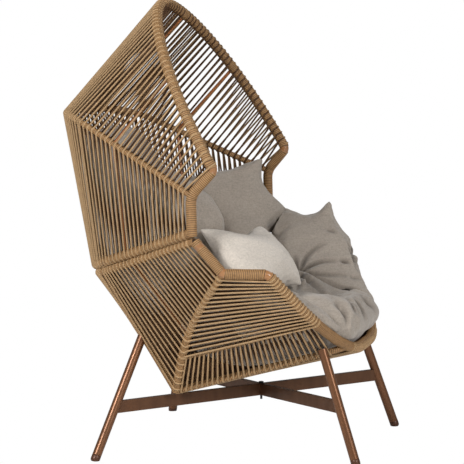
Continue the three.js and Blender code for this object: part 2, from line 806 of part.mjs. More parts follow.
// Rods that brace the strung fields
const rodPlaces = [
  ['hood_roof_rod_lower', archHalf, shoulderHalf, lowerRodShare, lowerRodShare, [frontFrameCutter, shoulderCutter]],
  ['hood_roof_rod_upper', archHalf, shoulderHalf, upperRodShare, upperRodShare, [frontFrameCutter, shoulderCutter]],
  ['hood_side_rod', shoulderHalf, baseHalf, sideRodShare, sideRodShare, [shoulderCutter, baseCutter]],
];
for (const [side, place] of sides) {
  for (const [name, a, b, shareA, shareB, cutters] of rodPlaces) {
    const rod = [along(place(a), shareA).at, along(place(b), shareB).at];
    add(`${name}_${side}`, cut(tube(rod, rodRadius, 6), cutters), 'rod');
  }
  const seatRod = [along(place(topHalf), seatRodShare).at, along(place(creasePath), seatRodFootShare).at];
  add(`seat_side_rod_${side}`, cut(tube(seatRod, rodRadius, 6), [topCutter, creaseCutters[side]]), 'rod');
}

// Strung fields
const seats = {};
function field(name, a, b, radiusA, radiusB, pitch, options = {}, cutters = []) {
  let geometry = strung(a, b, radiusA, radiusB, pitch, options);
  if (cutters.length) geometry = cut(geometry, cutters);
  add(name, geometry, 'rope');
  seats[name] = wall(a, b, ropeThickness + 2 * softGap, pitch, options);
}
const ridge = (half) => [...stretch(half, upperRodShare, 1), ...mirrored(stretch(half, upperRodShare, 1)).reverse().slice(1)];
field('hood_roof_ridge', ridge(archHalf), ridge(shoulderHalf), hoodTubeRadius, shoulderTubeRadius, roofPitch,
  { start: rodMargin, end: rodMargin });
const backOf = (half, from) => [...stretch(half, from, 1), ...mirrored(stretch(half, from, 1)).reverse().slice(1)];
field('hood_back', backOf(shoulderHalf, hoodCornerShare), backOf(baseHalf, hoodCornerShare), shoulderTubeRadius, baseTubeRadius, hoodSidePitch,
  { start: fieldSeam, end: fieldSeam });
const ribShare = rearRibTop.share;
const ringRear = [ringCorner, mirror(ringCorner)];
field('seat_back', backOf(topHalf, ribShare), ringRear, topTubeRadius, ringTubeRadius, seatRearPitch,
  { start: ribMargin, end: ribMargin });
const bottomRear = ringRear;
const bottomFront = stretch(rimPath, nearest(rimPath, ringNose).share, 1 - nearest(rimPath, ringNose).share);
field('seat_bottom', bottomRear, bottomFront, ringTubeRadius, rimTubeRadius, bottomPitch,
  { start: ringMargin, end: ringMargin }, [ringCutter, rimCutter]);

for (const [side, place] of sides) {
  // A mirrored field runs its paths backwards, which keeps its outer face outside
  const flip = side === 'right';
  const run = (path, from, to) => (flip ? place(stretch(path, from, to)).reverse() : place(stretch(path, from, to)));
  const ends = (start, end, startB = start, endB = end) => (flip
    ? { start: end, end: start, startB: endB, endB: startB }
    : { start, end, startB, endB });
  field(`hood_roof_lower_${side}`, run(archHalf, 0, lowerRodShare), run(shoulderHalf, 0, lowerRodShare),
    hoodTubeRadius, shoulderTubeRadius, roofPitch, ends(elbowMargin, rodMargin, postMargin, rodMargin), [frontFrameCutter]);
  field(`hood_roof_middle_${side}`, run(archHalf, lowerRodShare, upperRodShare), run(shoulderHalf, lowerRodShare, upperRodShare),
    hoodTubeRadius, shoulderTubeRadius, roofPitch, ends(rodMargin, rodMargin), [shoulderCutter]);
  field(`hood_side_front_${side}`, run(shoulderHalf, 0, sideRodShare), run(baseHalf, 0, sideRodShare),
    shoulderTubeRadius, baseTubeRadius, hoodSidePitch, ends(postMargin, rodMargin), [frontFrameCutter]);
  field(`hood_side_rear_${side}`, run(shoulderHalf, sideRodShare, hoodCornerShare), run(baseHalf, sideRodShare, hoodCornerShare),
    shoulderTubeRadius, baseTubeRadius, hoodSidePitch, ends(rodMargin, fieldSeam), [shoulderCutter, baseCutter]);
  field(`seat_side_front_${side}`, run(topHalf, 0, seatRodShare), run(creasePath, 0, seatRodFootShare),
    topTubeRadius, creaseTubeRadius, seatSidePitch, ends(postMargin, rodMargin, armMargin, rodMargin),
    [rimCutter, ringCutter, creaseCutters[side]]);
  field(`seat_side_rear_${side}`, run(topHalf, seatRodShare, ribShare), run(creasePath, seatRodFootShare, 1),
    topTubeRadius, creaseTubeRadius, seatSidePitch, ends(rodMargin, ribMargin, rodMargin, ringMargin),
    [rimCutter, rearRibCutters[side], ringCutter, creaseCutters[side]]);
  const armRim = stretch(rimPath, nearest(rimPath, rimCorners[2]).share, nearest(rimPath, railFront).share);
  const armCrease = stretch(creasePath, 0, nearest(creasePath, railRear).share);
  field(`seat_arm_${side}`, run(armRim, 0, 1), run(armCrease, 0, 1), rimTubeRadius, creaseTubeRadius, armPitch,
    ends(armMargin, railMargin), [rimCutter, railCutters[side], creaseCutters[side]]);
  const skirtRing = stretch(ringPath, 0, 0.5);
  const ringSide = stretch(skirtRing, nearest(skirtRing, ringFront).share, nearest(skirtRing, ringCorner).share).reverse();
  const sideStart = [ringCorner, ringFront];
  field(`seat_skirt_${side}`, run(sideStart, 0, 1), run(railPath, 0, 1), ringTubeRadius, railTubeRadius, skirtPitch,
    ends(creaseMargin, ringMargin, creaseMargin, ringMargin), [rimCutter, creaseCutters[side], ringCutter]);
}

// Legs, caps and crossed bars
const frontFoot = V(frontFootHalfWidth, frontFootDepth, 0);
const rearFoot = V(rearFootHalfWidth, rearFootDepth, 0);
const frontTop = V(frontLegTopHalfWidth, frontLegTopDepth, frontLegTopHeight);
const rearTop = along(rearRibPath, (rearRibTop.at.z - rearLegTopHeight) / (rearRibTop.at.z - ringRearHeight)).at;
const onLeg = (foot, top, height) => foot.clone().lerp(top, height / top.z);
const legs = [];
for (const [side, place] of sides) {
  for (const [end, foot, top, barAt] of [['front', frontFoot, frontTop, barFrontHeight], ['rear', rearFoot, rearTop, barRearHeight]]) {
    const [footAt, topAt, joint] = place([foot, top, onLeg(foot, top, barAt)]);
    legs.push({ name: `${end}_${side}`, side, end, footAt, topAt, joint, dir: topAt.clone().sub(footAt).normalize() });
  }
}
const floorCutter = new THREE.BoxGeometry(2 * rearFootHalfWidth + overrun * 2, 2 * rearFootDepth + overrun * 2, overrun)
  .translate(0, 0, -overrun / 2);
for (const leg of legs) {
  const capTop = leg.footAt.clone().addScaledVector(leg.dir, capLength);
  const legStart = capTop.clone().addScaledVector(leg.dir, gap);
  const body = tube([legStart, leg.topAt], legRadius, legSides);
  const cutters = leg.end === 'front' ? [ringCutter, seats[`seat_skirt_${leg.side}`]]
    : [rearRibCutters[leg.side], seats.seat_back, seats[`seat_side_rear_${leg.side}`]];
  add(`leg_${leg.name}`, cut(body, cutters), 'leg');
  // The cap's round nose starts below the floor plane and is cut flat on it
  const nose = [];
  for (let i = 0; i <= 4; i++) {
    const a = (Math.PI / 2) * (i / 4);
    nose.push([legRadius - capNoseRadius + capNoseRadius * Math.sin(a), capNoseRadius * (1 - Math.cos(a))]);
  }
  const sunk = capSink;
  const profile = [[0, 0], ...nose, [legRadius, capLength + sunk], [0, capLength + sunk]];
  const cap = turned(profile, leg.footAt.clone().addScaledVector(leg.dir, -sunk), leg.dir, legSides);
  add(`foot_cap_${leg.name}`, cut(cap, [floorCutter]), 'cap');
}
const legCutter = (leg) => tube([leg.footAt, leg.topAt], legRadius + gap, legSides);
const legOf = (end, side) => legs.find((leg) => leg.end === end && leg.side === side);
const barLines = [['rear', 'right', 'front', 'left'], ['front', 'right', 'rear', 'left']].map(([endA, sideA, endB, sideB]) => {
  const from = legOf(endA, sideA);
  const to = legOf(endB, sideB);
  return { from, to, a: from.joint, b: to.joint };
});
const crossShare = barLines[0].a.x / (barLines[0].a.x - barLines[0].b.x);
const crossing = barLines[0].a.clone().lerp(barLines[0].b, crossShare);
const boltHole = tube([crossing.clone().setZ(crossing.z - barHeight), crossing.clone().setZ(crossing.z + barHeight)], crossBoltRadius + boltClearance);
barLines.forEach(({ from, to, a, b }, i) => {
  const solid = bar(a, b, barThickness, barHeight);
  const other = barLines[1 - i];
  const lap = bar(other.a, other.b, barThickness + 2 * gap, barHeight + overrun);
  const size = barThickness * 4;
  const half = new THREE.BoxGeometry(size, size, barHeight);
  half.translate(crossing.x, crossing.y, crossing.z + (i ? -1 : 1) * (barHeight / 2 - gap / 2));
  add(`cross_bar_${i ? 'front_right_to_rear_left' : 'rear_right_to_front_left'}`,
    cut(solid, [legCutter(from), legCutter(to), common(lap, half), boltHole]), 'leg');
});
const boltTop = crossing.z + barHeight / 2 + gap;
const boltFoot = crossing.z - barHeight / 2 - gap;
add('cross_bolt', turned([
  [0, boltFoot - crossNutHeight], [crossBoltRadius, boltFoot - crossNutHeight], [crossBoltRadius, boltTop],
  [crossBoltHeadRadius, boltTop], [crossBoltHeadRadius - crossBoltHeadHeight / 3, boltTop + crossBoltHeadHeight],
  [0, boltTop + crossBoltHeadHeight],
], V(crossing.x, crossing.y, 0), V(0, 0, 1), 12), 'bolt');

// Cushion petals: each is a plump pad that the shell, the tubes and the petals before it cut back
const liftBack = V(0, -liftDepth, -liftHeight).setLength(wakeReach);
const rimWakes = wakes(rimPath, rimTubeRadius + softGap, liftBack);
const postShare = lengths(postLine).at(-1) / lengths(frontFramePath).at(-1);
const frameWakes = [stretch(frontFramePath, 0, 2 * postShare), stretch(frontFramePath, 1 - 2 * postShare, 1)]
  .flatMap((path) => wakes(path, hoodTubeRadius + softGap, liftBack));
const square = (at, before, after, side, thickness) => after.clone().sub(before).cross(side).setLength(thickness);
// Rows from centres, the half vector across each, and a half thickness at each
function padRows(centres, acrosses, thicknesses) {
  return centres.map((at, i) => ({
    at,
    across: acrosses[i],
    up: square(at, centres[Math.max(i - 1, 0)], centres[Math.min(i + 1, centres.length - 1)], acrosses[i], thicknesses[i]),
  }));
}
const pads = {};
function pad(name, make, cutters, over, material = 'cushion') {
  pads[name] = make(softGap);
  add(name, cut(make(0), [...cutters, ...over.map((other) => pads[other])]), material);
}
const lofted = (rows, options) => (grow) => soft(rows, { ...options, grow });
const seamed = (corners, toward, swellFront, swellBack, options) => (grow) => pinched(corners, toward, swellFront, swellBack, { ...options, grow });
const shellOf = (...names) => names.flatMap((name) => (seats[name] ? [seats[name]] : [seats[`${name}_left`], seats[`${name}_right`]]));
const bothSides = (cutters) => [cutters.left, cutters.right];

const nose = V(noseX, noseDepth, noseHeight);
function sidePad(side, place, over) {
  const pressed = side === 'right' ? 1 : 0;
  const notch = V(notchX, notchDepth, notchHeight - pressed * notchPressed);
  const armTip = V(armTipX, armTipDepth, armTipHeight - pressed * armTipPressed);
  const toward = place([V(-1, 0, 1)])[0];
  const bows = [null, V(0, 0, -tipSag), V(sideEdgeBow, 0, 0), null];
  pad(`cushion_side_${side}`, seamed(place([V(tuckX, tuckDepth, tuckHeight), notch, armTip, nose]), toward,
    pressed ? sidePressedSwell : sideFrontSwell, sideBackSwell, { bows: bows.map((bow) => bow && place([bow])[0]) }), [
    rimCutter, ...rimWakes, baseCutter, topCutter, ...frameWakes, creaseCutters[side], railCutters[side], ringCutter,
    ...[`seat_arm_${side}`, `seat_skirt_${side}`, `seat_side_front_${side}`, `seat_side_rear_${side}`, 'seat_bottom'].map((name) => seats[name]),
  ], over);
}
sidePad('left', (path) => path, []);

pad('cushion_seat', lofted(padRows([
  V(0, seatPadRearDepth, seatPadRearHeight),
  V(0, seatPadMiddleDepth, seatPadMiddleHeight),
  V(0, seatPadLapDepth, seatPadLapHeight),
  V(0, seatPadFrontDepth, seatPadFrontHeight),
], [
  V(seatPadRearHalfWidth, 0, 0), V(seatPadHalfWidth, 0, 0), V(seatPadHalfWidth, 0, 0), V(seatPadFrontHalfWidth, 0, 0),
], [seatPadRearHalfThickness, seatPadHalfThickness, seatPadLapHalfThickness, seatPadFrontHalfThickness],
), { ring: 26, steps: 14, section: 2.3, dents: [
  { at: V(0, tuftDepth, tuftHeight), push: V(0, 0, -tuftSink), reach: tuftReach },
  { at: V(flankX, flankDepth, flankHeight), push: V(0, 0, -flankSink), reach: flankReach },
] }), [
  rimCutter, ...rimWakes, ringCutter, ...bothSides(railCutters), ...bothSides(creaseCutters),
  ...shellOf('seat_bottom', 'seat_skirt', 'seat_back', 'seat_arm'),
], ['cushion_side_left']);

pad('cushion_back', lofted(padRows([
  V(0, backPadFootDepth, backPadFootHeight),
  V(0, backPadLowDepth, backPadLowHeight),
  V(0, backPadHighDepth, backPadHighHeight),
  V(0, backPadTopDepth, backPadTopHeight),
], [
  V(backPadFootHalfWidth, 0, 0), V(backPadHalfWidth, 0, 0), V(backPadHighHalfWidth, 0, 0), V(backPadTopHalfWidth, 0, 0),
], [backPadFootHalfThickness, backPadHalfThickness, backPadHighHalfThickness, backPadTopHalfThickness],
), { ring: 24, section: 2.3 }), [
  baseCutter, topCutter, shoulderCutter, ringCutter, ...bothSides(rearRibCutters), ...bothSides(creaseCutters),
  ...shellOf('hood_back', 'seat_back', 'hood_side_rear', 'hood_roof_ridge', 'seat_side_front', 'seat_side_rear', 'seat_skirt'),
], ['cushion_seat', 'cushion_side_left']);
sidePad('right', mirrored, ['cushion_seat', 'cushion_back']);

const wingForms = {
  left: {
    corners: [V(wingFootX, wingFootDepth, wingFootHeight), V(notchX, notchDepth - gap, notchHeight),
      V(wingTipX, wingTipDepth, wingTipHeight), V(wingTopX, wingTopDepth, wingTopHeight)],
    bows: [null, V(0, tipSag, 0), null, null],
    frontSwell: wingFrontSwell,
  },
  right: {
    corners: [V(wingFootX, pressedFootDepth, wingFootHeight), V(pressedNotchX, pressedNotchDepth, pressedNotchHeight),
      V(pressedTipX, pressedTipDepth, pressedTipHeight), V(pressedTopX, pressedTopDepth, pressedTopHeight)],
    bows: [null, null, null, null],
    frontSwell: pressedFrontSwell,
  },
};
for (const [side, place] of sides) {
  const { corners, bows, frontSwell } = wingForms[side];
  const toward = place([V(-1, -1, 0)])[0];
  pad(`cushion_wing_${side}`, seamed(place(corners), toward, frontSwell, wingBackSwell, { bows: bows.map((bow) => bow && place([bow])[0]) }), [
    frontFrameCutter, ...frameWakes, baseCutter, topCutter, shoulderCutter, creaseCutters[side],
    ...[`hood_side_front_${side}`, `hood_side_rear_${side}`, `hood_roof_lower_${side}`, `seat_side_front_${side}`, `seat_side_rear_${side}`].map((name) => seats[name]),
  ], ['cushion_seat', 'cushion_back', `cushion_side_${side}`]);
}

const pillowOuter = V(pillowOuterX, pillowOuterDepth, pillowOuterHeight);
const pillowInner = V(pillowInnerX, pillowInnerDepth, pillowInnerHeight);
const pillowInnerLow = V(pillowInnerLowX, pillowInnerLowDepth, pillowInnerLowHeight);
const pillowOuterLow = V(pillowOuterLowX, pillowOuterLowDepth, pillowOuterLowHeight);
const pillowSide = pillowInner.clone().sub(pillowOuter).setLength(pillowSag);
const pillowDrop = pillowInnerLow.clone().sub(pillowInner).setLength(pillowSag);
pad('throw_pillow', seamed([pillowOuterLow, pillowInnerLow, pillowInner, pillowOuter], V(0, -1, 1), pillowSwell, pillowSwell,
  { steps: 12, bows: [null, null, pillowDrop, pillowSide] }), [rimCutter],
['cushion_seat', 'cushion_back', 'cushion_side_right', 'cushion_wing_right'], 'pillow');

// The origin stands on the floor under the middle of the overall box
const overall = new THREE.Box3().setFromObject(group);
const middle = overall.getCenter(V(0, 0, 0));
for (const mesh of group.children) mesh.geometry.translate(-middle.x, -middle.y, 0);

export default group;
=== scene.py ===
import math

import bpy
import numpy as np
from bpy.props import FloatProperty, FloatVectorProperty, IntProperty, PointerProperty
from mathutils import Matrix, Vector
from mathutils.bvhtree import BVHTree


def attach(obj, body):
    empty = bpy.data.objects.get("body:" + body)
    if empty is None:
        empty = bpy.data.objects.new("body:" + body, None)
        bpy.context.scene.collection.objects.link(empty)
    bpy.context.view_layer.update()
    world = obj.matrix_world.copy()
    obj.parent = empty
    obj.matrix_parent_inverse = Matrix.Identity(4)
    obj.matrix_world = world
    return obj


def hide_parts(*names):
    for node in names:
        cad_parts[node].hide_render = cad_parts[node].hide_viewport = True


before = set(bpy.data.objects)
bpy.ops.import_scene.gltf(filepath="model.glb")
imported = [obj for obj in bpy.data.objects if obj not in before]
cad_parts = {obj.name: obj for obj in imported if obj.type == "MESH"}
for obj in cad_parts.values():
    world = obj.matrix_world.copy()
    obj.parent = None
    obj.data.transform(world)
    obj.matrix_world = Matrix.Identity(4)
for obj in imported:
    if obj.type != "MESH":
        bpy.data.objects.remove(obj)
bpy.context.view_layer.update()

bl_info = {
    "name": "Pod chair",
    "version": (1, 0, 0),
    "blender": (4, 5, 0),
    "location": "View3D > Sidebar > Pod chair",
    "description": "Strung hood, strung seat shell, crossed base, petal cushion and throw pillow",
    "category": "Object",
}

# The depths below are from the middle between the feet. The part's origin is under its box.
MIDDLE = -0.0988428


def place(x, y, z):
    """A point in metres from millimetres measured between the feet."""
    return Vector((x / 1000, y / 1000 + MIDDLE, z / 1000))


def srgb(r, g, b):
    """A linear colour from 0 to 255 screen values."""
    def line(v):
        v /= 255
        return v / 12.92 if v <= 0.04045 else ((v + 0.055) / 1.055) ** 2.4
    return (line(r), line(g), line(b))


class PodChairSizes(bpy.types.PropertyGroup):
    cord_radius: FloatProperty(
        name="Cord radius", description="Half the thickness of the strung cord", default=0.0033, unit="LENGTH")
    cord_pitch: FloatProperty(
        name="Cord pitch", description="Spacing of the hood's cords along the shoulder rib",
        default=0.0218, unit="LENGTH")
    seat_pitch: FloatProperty(
        name="Seat pitch", description="Spacing of the seat's cords along the top rib", default=0.0175, unit="LENGTH")
    turn: FloatProperty(
        name="Turn", description="Spacing of the turns wound round the tubes", default=0.0058, unit="LENGTH")
    bare_radius: FloatProperty(
        name="Bare tube radius", description="Radius of the coated tube where no cord covers it",
        default=0.0155, unit="LENGTH")
    bare_half: FloatProperty(
        name="Bare half length", description="Half the length left bare at an elbow", default=0.0065, unit="LENGTH")
    arm_cords: IntProperty(name="Arm cords", description="Cords of one arm panel", default=17)
    skirt_cords: IntProperty(name="Skirt cords", description="Cords of one skirt panel", default=29)
    hood_tube: FloatProperty(
        name="Hood tube radius", description="Wound radius of the hood's front frame and the seat's rim",
        default=0.017, unit="LENGTH")
    shoulder_tube: FloatProperty(
        name="Shoulder tube radius", description="Wound radius of the shoulder rib", default=0.010, unit="LENGTH")
    base_tube: FloatProperty(
        name="Base tube radius", description="Wound radius of the hood's base rib", default=0.016, unit="LENGTH")
    top_tube: FloatProperty(
        name="Top tube radius", description="Wound radius of the seat's top rib", default=0.013, unit="LENGTH")
    ring_tube: FloatProperty(
        name="Ring tube radius", description="Wound radius of the seat's lower ring", default=0.011, unit="LENGTH")
    crease_tube: FloatProperty(
        name="Crease tube radius", description="Wound radius at the top of a crease rib",
        default=0.011, unit="LENGTH")
    crease_foot: FloatProperty(
        name="Crease foot radius", description="Wound radius at the foot of a crease rib",
        default=0.015, unit="LENGTH")
    rail_tube: FloatProperty(
        name="Rail radius", description="Wound radius of a side rail", default=0.007, unit="LENGTH")
    rear_tube: FloatProperty(
        name="Rear rib radius", description="Wound radius of a rear rib", default=0.012, unit="LENGTH")


class PodChairColours(bpy.types.PropertyGroup):
    cord: FloatVectorProperty(
        name="Cord", description="Straw brown of the strung cord",
        subtype="COLOR", size=3, default=srgb(172, 142, 104))
    cord_dark: FloatVectorProperty(
        name="Cord shade", description="Darker fibres of the cord",
        subtype="COLOR", size=3, default=srgb(126, 95, 62))
    # Inner cord: the cord darkened as painted shade for the returns inside the walls
    cord_inner_shade: FloatVectorProperty(
        name="Inner cord", description="The cord's returns, inside the walls",
        subtype="COLOR", size=3, default=srgb(80, 53, 28))
    wound: FloatVectorProperty(
        name="Wound cord", description="Cord wound round the tubes",
        subtype="COLOR", size=3, default=srgb(156, 121, 81))
    copper: FloatVectorProperty(
        name="Bare tube", description="Coat of the tube at the bare elbows",
        subtype="COLOR", size=3, default=srgb(150, 104, 62))
    rod: FloatVectorProperty(
        name="Rods", description="Coat of the thin rods", subtype="COLOR", size=3, default=srgb(166, 104, 60))
    leg: FloatVectorProperty(
        name="Legs", description="Coat of the legs and bars", subtype="COLOR", size=3, default=srgb(112, 74, 47))
    foot: FloatVectorProperty(
        name="Foot caps", description="Moulded foot caps", subtype="COLOR", size=3, default=srgb(80, 47, 27))
    cushion: FloatVectorProperty(
        name="Cushion", description="Warm grey outdoor linen", subtype="COLOR", size=3, default=srgb(154, 144, 133))
    pillow: FloatVectorProperty(
        name="Pillow", description="Pale heathered linen", subtype="COLOR", size=3, default=srgb(199, 190, 179))
    ground: FloatVectorProperty(
        name="Ground", description="Pale studio floor", subtype="COLOR", size=3, default=(0.93, 0.93, 0.93))


def sizes():
    return bpy.context.scene.pod_chair_sizes


def colours():
    return bpy.context.scene.pod_chair_colours


def rounded(corners, bends, steps=10):
    """A path through corners, each rounded by a curve that starts up to its bend away."""
    if not isinstance(bends, (list, tuple)):
        bends = [bends] * (len(corners) - 2)
    out = [corners[0].copy()]
    for i in range(1, len(corners) - 1):
        a = corners[i - 1] - corners[i]
        b = corners[i + 1] - corners[i]
        reach = min(bends[i - 1] / 1000, a.length / 2, b.length / 2)
        a = corners[i] + a.normalized() * reach
        b = corners[i] + b.normalized() * reach
        for k in range(steps + 1):
            t = k / steps
            p = a * (1 - t) ** 2 + corners[i] * 2 * t * (1 - t) + b * t * t
            if (p - out[-1]).length > 0.0003:
                out.append(p)
    if (corners[-1] - out[-1]).length > 0.0003:
        out.append(corners[-1].copy())
    return out


def flipped(path):
    """The path on the chair's other side."""
    return [Vector((-p.x, p.y, p.z)) for p in path]


def both(half):
    """A half path joined to its other half."""
    return list(half) + flipped(half)[::-1]


def lengths(path):
    """How far along a path each of its points lies."""
    sums = [0.0]
    for a, b in zip(path, path[1:]):
        sums.append(sums[-1] + (b - a).length)
    return sums


def along(path, share):
    """The point at a share of a path's length, and the path's direction there."""
    sums = lengths(path)
    want = min(max(share, 0), 1) * sums[-1]
    i = 1
    while i < len(path) - 1 and sums[i] < want:
        i += 1
    part = (want - sums[i - 1]) / (sums[i] - sums[i - 1])
    return path[i - 1].lerp(path[i], part), (path[i] - path[i - 1]).normalized()


def stretch(path, start, end):
    """The part of a path between two shares of its length."""
    sums = lengths(path)
    out = [along(path, start)[0]]
    out += [p.copy() for p, s in zip(path, sums) if start * sums[-1] + 0.0003 < s < end * sums[-1] - 0.0003]
    return out + [along(path, end)[0]]


def nearest(path, point):
    """Distance, share of the length and place of a path's nearest point."""
    sums = lengths(path)
    best = (1e9, 0.0, path[0])
    for i in range(1, len(path)):
        a, d = path[i - 1], path[i] - path[i - 1]
        t = min(max((point - a).dot(d) / d.length_squared, 0), 1)
        at = a + d * t
        if (at - point).length < best[0]:
            best = ((at - point).length, (sums[i - 1] + t * d.length) / sums[-1], at)
    return best


def arch():
    """The hood's pointed arch, from the left elbow to the right one."""
    power, steps, points = 2 / 1.85, 48, []
    for i in range(1, steps):
        a = math.pi * i / steps
        rise = math.sin(a) ** power
        reach = math.copysign(abs(math.cos(a)) ** power, math.cos(a))
        points.append(place(482 * reach, 294 * rise, 948 + (1464 - 948) * rise))
    return points


POST_FOOT, POST_TOP, ELBOW = place(494, 68, 752), place(494, 70, 869), place(476, 0, 948)
ARCH = arch()
POST = rounded([place(494, 68, 741), POST_TOP, ELBOW, ARCH[0]], [26, 14], 6)
FRONT_FRAME = POST[:-1] + ARCH + flipped(POST[:-1])[::-1]
ARCH_HALF = [ELBOW] + ARCH[: len(ARCH) // 2 + 1]
SHOULDER = rounded(both([POST_TOP, place(290, 515, 1097), place(115, 620, 1107)]), 160)
FALL = (752 - 597) / (517 - 68)
BASE = rounded(both([POST_FOOT, place(300, 430, 752 - FALL * (430 - 68)), place(120, 517, 597)]), 160)
UNDER = Vector((0, FALL, 1)).normalized() * (0.016 + 0.013 + 0.0003)
TOP = [p - UNDER for p in BASE]
RIM_CORNERS = [
    POST_FOOT - UNDER, place(500, -33, 625), place(490, -174, 625), place(360, -304, 446), place(175, -378, 342)]
RIM = rounded(both(RIM_CORNERS), [14, 14, 210, 210, 210, 210, 14, 14])
RING_CORNER = place(262, 195, 206)
CREASE = rounded([RIM_CORNERS[1], place(410, 72, 496), place(330, 146, 369), RING_CORNER], 300)
RING_FRONT = place(250, -331, 353)
RING_NOSE = nearest(RIM, place(200, -378, 342))[2]
RING = rounded(both([RING_NOSE, RING_FRONT, RING_CORNER]), 40)
RAIL_REAR = next(a.lerp(b, (0.321 - a.z) / (b.z - a.z)) for a, b in zip(CREASE, CREASE[1:]) if b.z <= 0.321)
RAIL = [RAIL_REAR, nearest(RIM, RIM_CORNERS[3])[2]]
SHOULDER_HALF, BASE_HALF, TOP_HALF = (stretch(p, 0, 0.5) for p in (SHOULDER, BASE, TOP))
REAR_SHARE, REAR_TOP = nearest(TOP_HALF, place(262, 430, TOP_HALF[-1].z * 1000))[1:]
REAR_RIB = [REAR_TOP, RING_CORNER]
LOWER_ROD, UPPER_ROD, SIDE_ROD, CORNER, SEAT_ROD, SEAT_ROD_FOOT = 0.42, 0.8, 0.42, 0.62, 0.4, 0.58
SIDES = (("left", lambda path: path), ("right", flipped))


def clear_selection():
    bpy.ops.object.select_all(action="DESELECT")


def only(obj):
    clear_selection()
    obj.select_set(True)
    bpy.context.view_layer.objects.active = obj


def new_object(name, mesh):
    obj = bpy.data.objects.new(name, mesh)
    bpy.context.scene.collection.objects.link(obj)
    return obj


def finish_piece(obj, body, materials, nodes=()):
    """Puts the place in the mesh, gives the finish and ties the piece to its body."""
    only(obj)
    bpy.ops.object.transform_apply(location=True, rotation=True, scale=True)
    marks = [0] * len(obj.data.polygons)
    obj.data.polygons.foreach_get("material_index", marks)
    obj.data.materials.clear()
    for material in materials:
        obj.data.materials.append(material)
    obj.data.polygons.foreach_set("material_index", [min(mark, len(materials) - 1) for mark in marks])
    obj.data.name = obj.name
    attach(obj, body)
    if nodes:
        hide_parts(*nodes)
    return obj


def frames_along(path):
    """Steady cross axes at each point of a path."""
    out, side, last = [], None, None
    for i, p in enumerate(path):
        before = (p - path[i - 1]).normalized() if i else None
        after = (path[i + 1] - p).normalized() if i < len(path) - 1 else None
        d = (before + after).normalized() if before and after else (before or after)
        if side is None:
            up = Vector((0, 0, 1)) if abs(d.z) < 0.9 else Vector((1, 0, 0))
            side = up.cross(d).normalized()
        else:
            side = last.rotation_difference(d) @ side
            side = (side - d * side.dot(d)).normalized()
        last = d.copy()
        out.append((p, d, side.copy(), d.cross(side)))
    return out


class Sweep:
    """Collects swept rounds into one mesh, with a length and turn map for the cord pattern."""

    def __init__(self):
        self.verts, self.faces, self.maps, self.marks = [], [], [], []

    def add(self, rings, radius_at, sides, mark_at=lambda i: 0, offset=0.0, step=None):
        """Adds one round; the map runs in metres from offset, or by step for each ring."""
        first, travelled = len(self.verts), [offset]
        for a, b in zip(rings, rings[1:]):
            travelled.append(travelled[-1] + (step or (b[0] - a[0]).length))
        for i, (p, d, side, other) in enumerate(rings):
            for k in range(sides):
                a = 2 * math.pi * k / sides
                r = radius_at(i, k / sides)
                self.verts.append(p + side * (math.cos(a) * r) + other * (math.sin(a) * r))
        for i in range(len(rings) - 1):
            for k in range(sides):
                a, b = first + i * sides + k, first + i * sides + (k + 1) % sides
                self.faces.append((a, b, b + sides, a + sides))
                self.maps.append([(travelled[i], k / sides), (travelled[i], (k + 1) / sides),
                                  (travelled[i + 1], (k + 1) / sides), (travelled[i + 1], k / sides)])
                self.marks.append(mark_at(i))
        last = first + (len(rings) - 1) * sides
        self.faces.append(tuple(first + k for k in range(sides))[::-1])
        self.faces.append(tuple(last + k for k in range(sides)))
        for t in (travelled[0], travelled[-1]):
            self.maps.append([(t, k / sides) for k in range(sides)])
            self.marks.append(mark_at(0 if t == travelled[0] else len(rings) - 2))

    def mesh(self, name):
        mesh = bpy.data.meshes.new(name)
        mesh.from_pydata([tuple(v) for v in self.verts], [], self.faces)
        layer = mesh.uv_layers.new(name="cord")
        layer.data.foreach_set("uv", [c for face in self.maps for uv in face for c in uv])
        mesh.polygons.foreach_set("material_index", self.marks)
        mesh.polygons.foreach_set("use_smooth", [True] * len(self.faces))
        mesh.update()
        return mesh


def resample(path, step):
    """The path in even steps."""
    total = lengths(path)[-1]
    count = max(2, round(total / step))
    return [along(path, i / count)[0] for i in range(count + 1)]


SAMPLES_PER_TURN = 5
TURN_RISE = 0.0013


def wound_tube(name, path, radius, bare=(), sides=14, nodes=()):
    """A tube wound with cord, turn by turn, bare at the elbows named by their shares."""
    size = sizes()
    radius_of = radius if callable(radius) else (lambda share: radius)
    points = resample(path, size.turn / SAMPLES_PER_TURN)
    rings = frames_along(points)
    total = lengths(points)[-1]
    count = len(rings)
    covered = []
    for i in range(count):
        share = i / (count - 1)
        covered.append(all(abs(share - at) * total > size.bare_half for at in bare))

    def radius_at(i, turn):
        r = radius_of(i / (count - 1))
        if not covered[i]:
            return min(size.bare_radius, r - 0.001)
        phase = (i / SAMPLES_PER_TURN + turn) % 1
        return r - TURN_RISE + TURN_RISE * math.sqrt(abs(math.sin(math.pi * phase))) * 1.15

    sweep = Sweep()
    sweep.add(rings, radius_at, sides, lambda i: 0 if covered[i] and covered[i + 1] else 1, step=1 / SAMPLES_PER_TURN)
    obj = new_object(name, sweep.mesh(name))
    return finish_piece(obj, "frame", [wound_material(), copper_material()], nodes)


CHAIR_INSIDE = Vector((0, 0.13 + MIDDLE, 0.72))
# Degrees from the cord's own way at which it is drawn round a tube
ROUND_A_TUBE = (215, 190, 165, 140, 115, 92)
CORD_SIDES, RETURN_SIDES = 7, 6
# Metres by which the lay starts later on each cord and on each return
CORD_SHIFT, RETURN_SHIFT = 0.0137, 0.0171


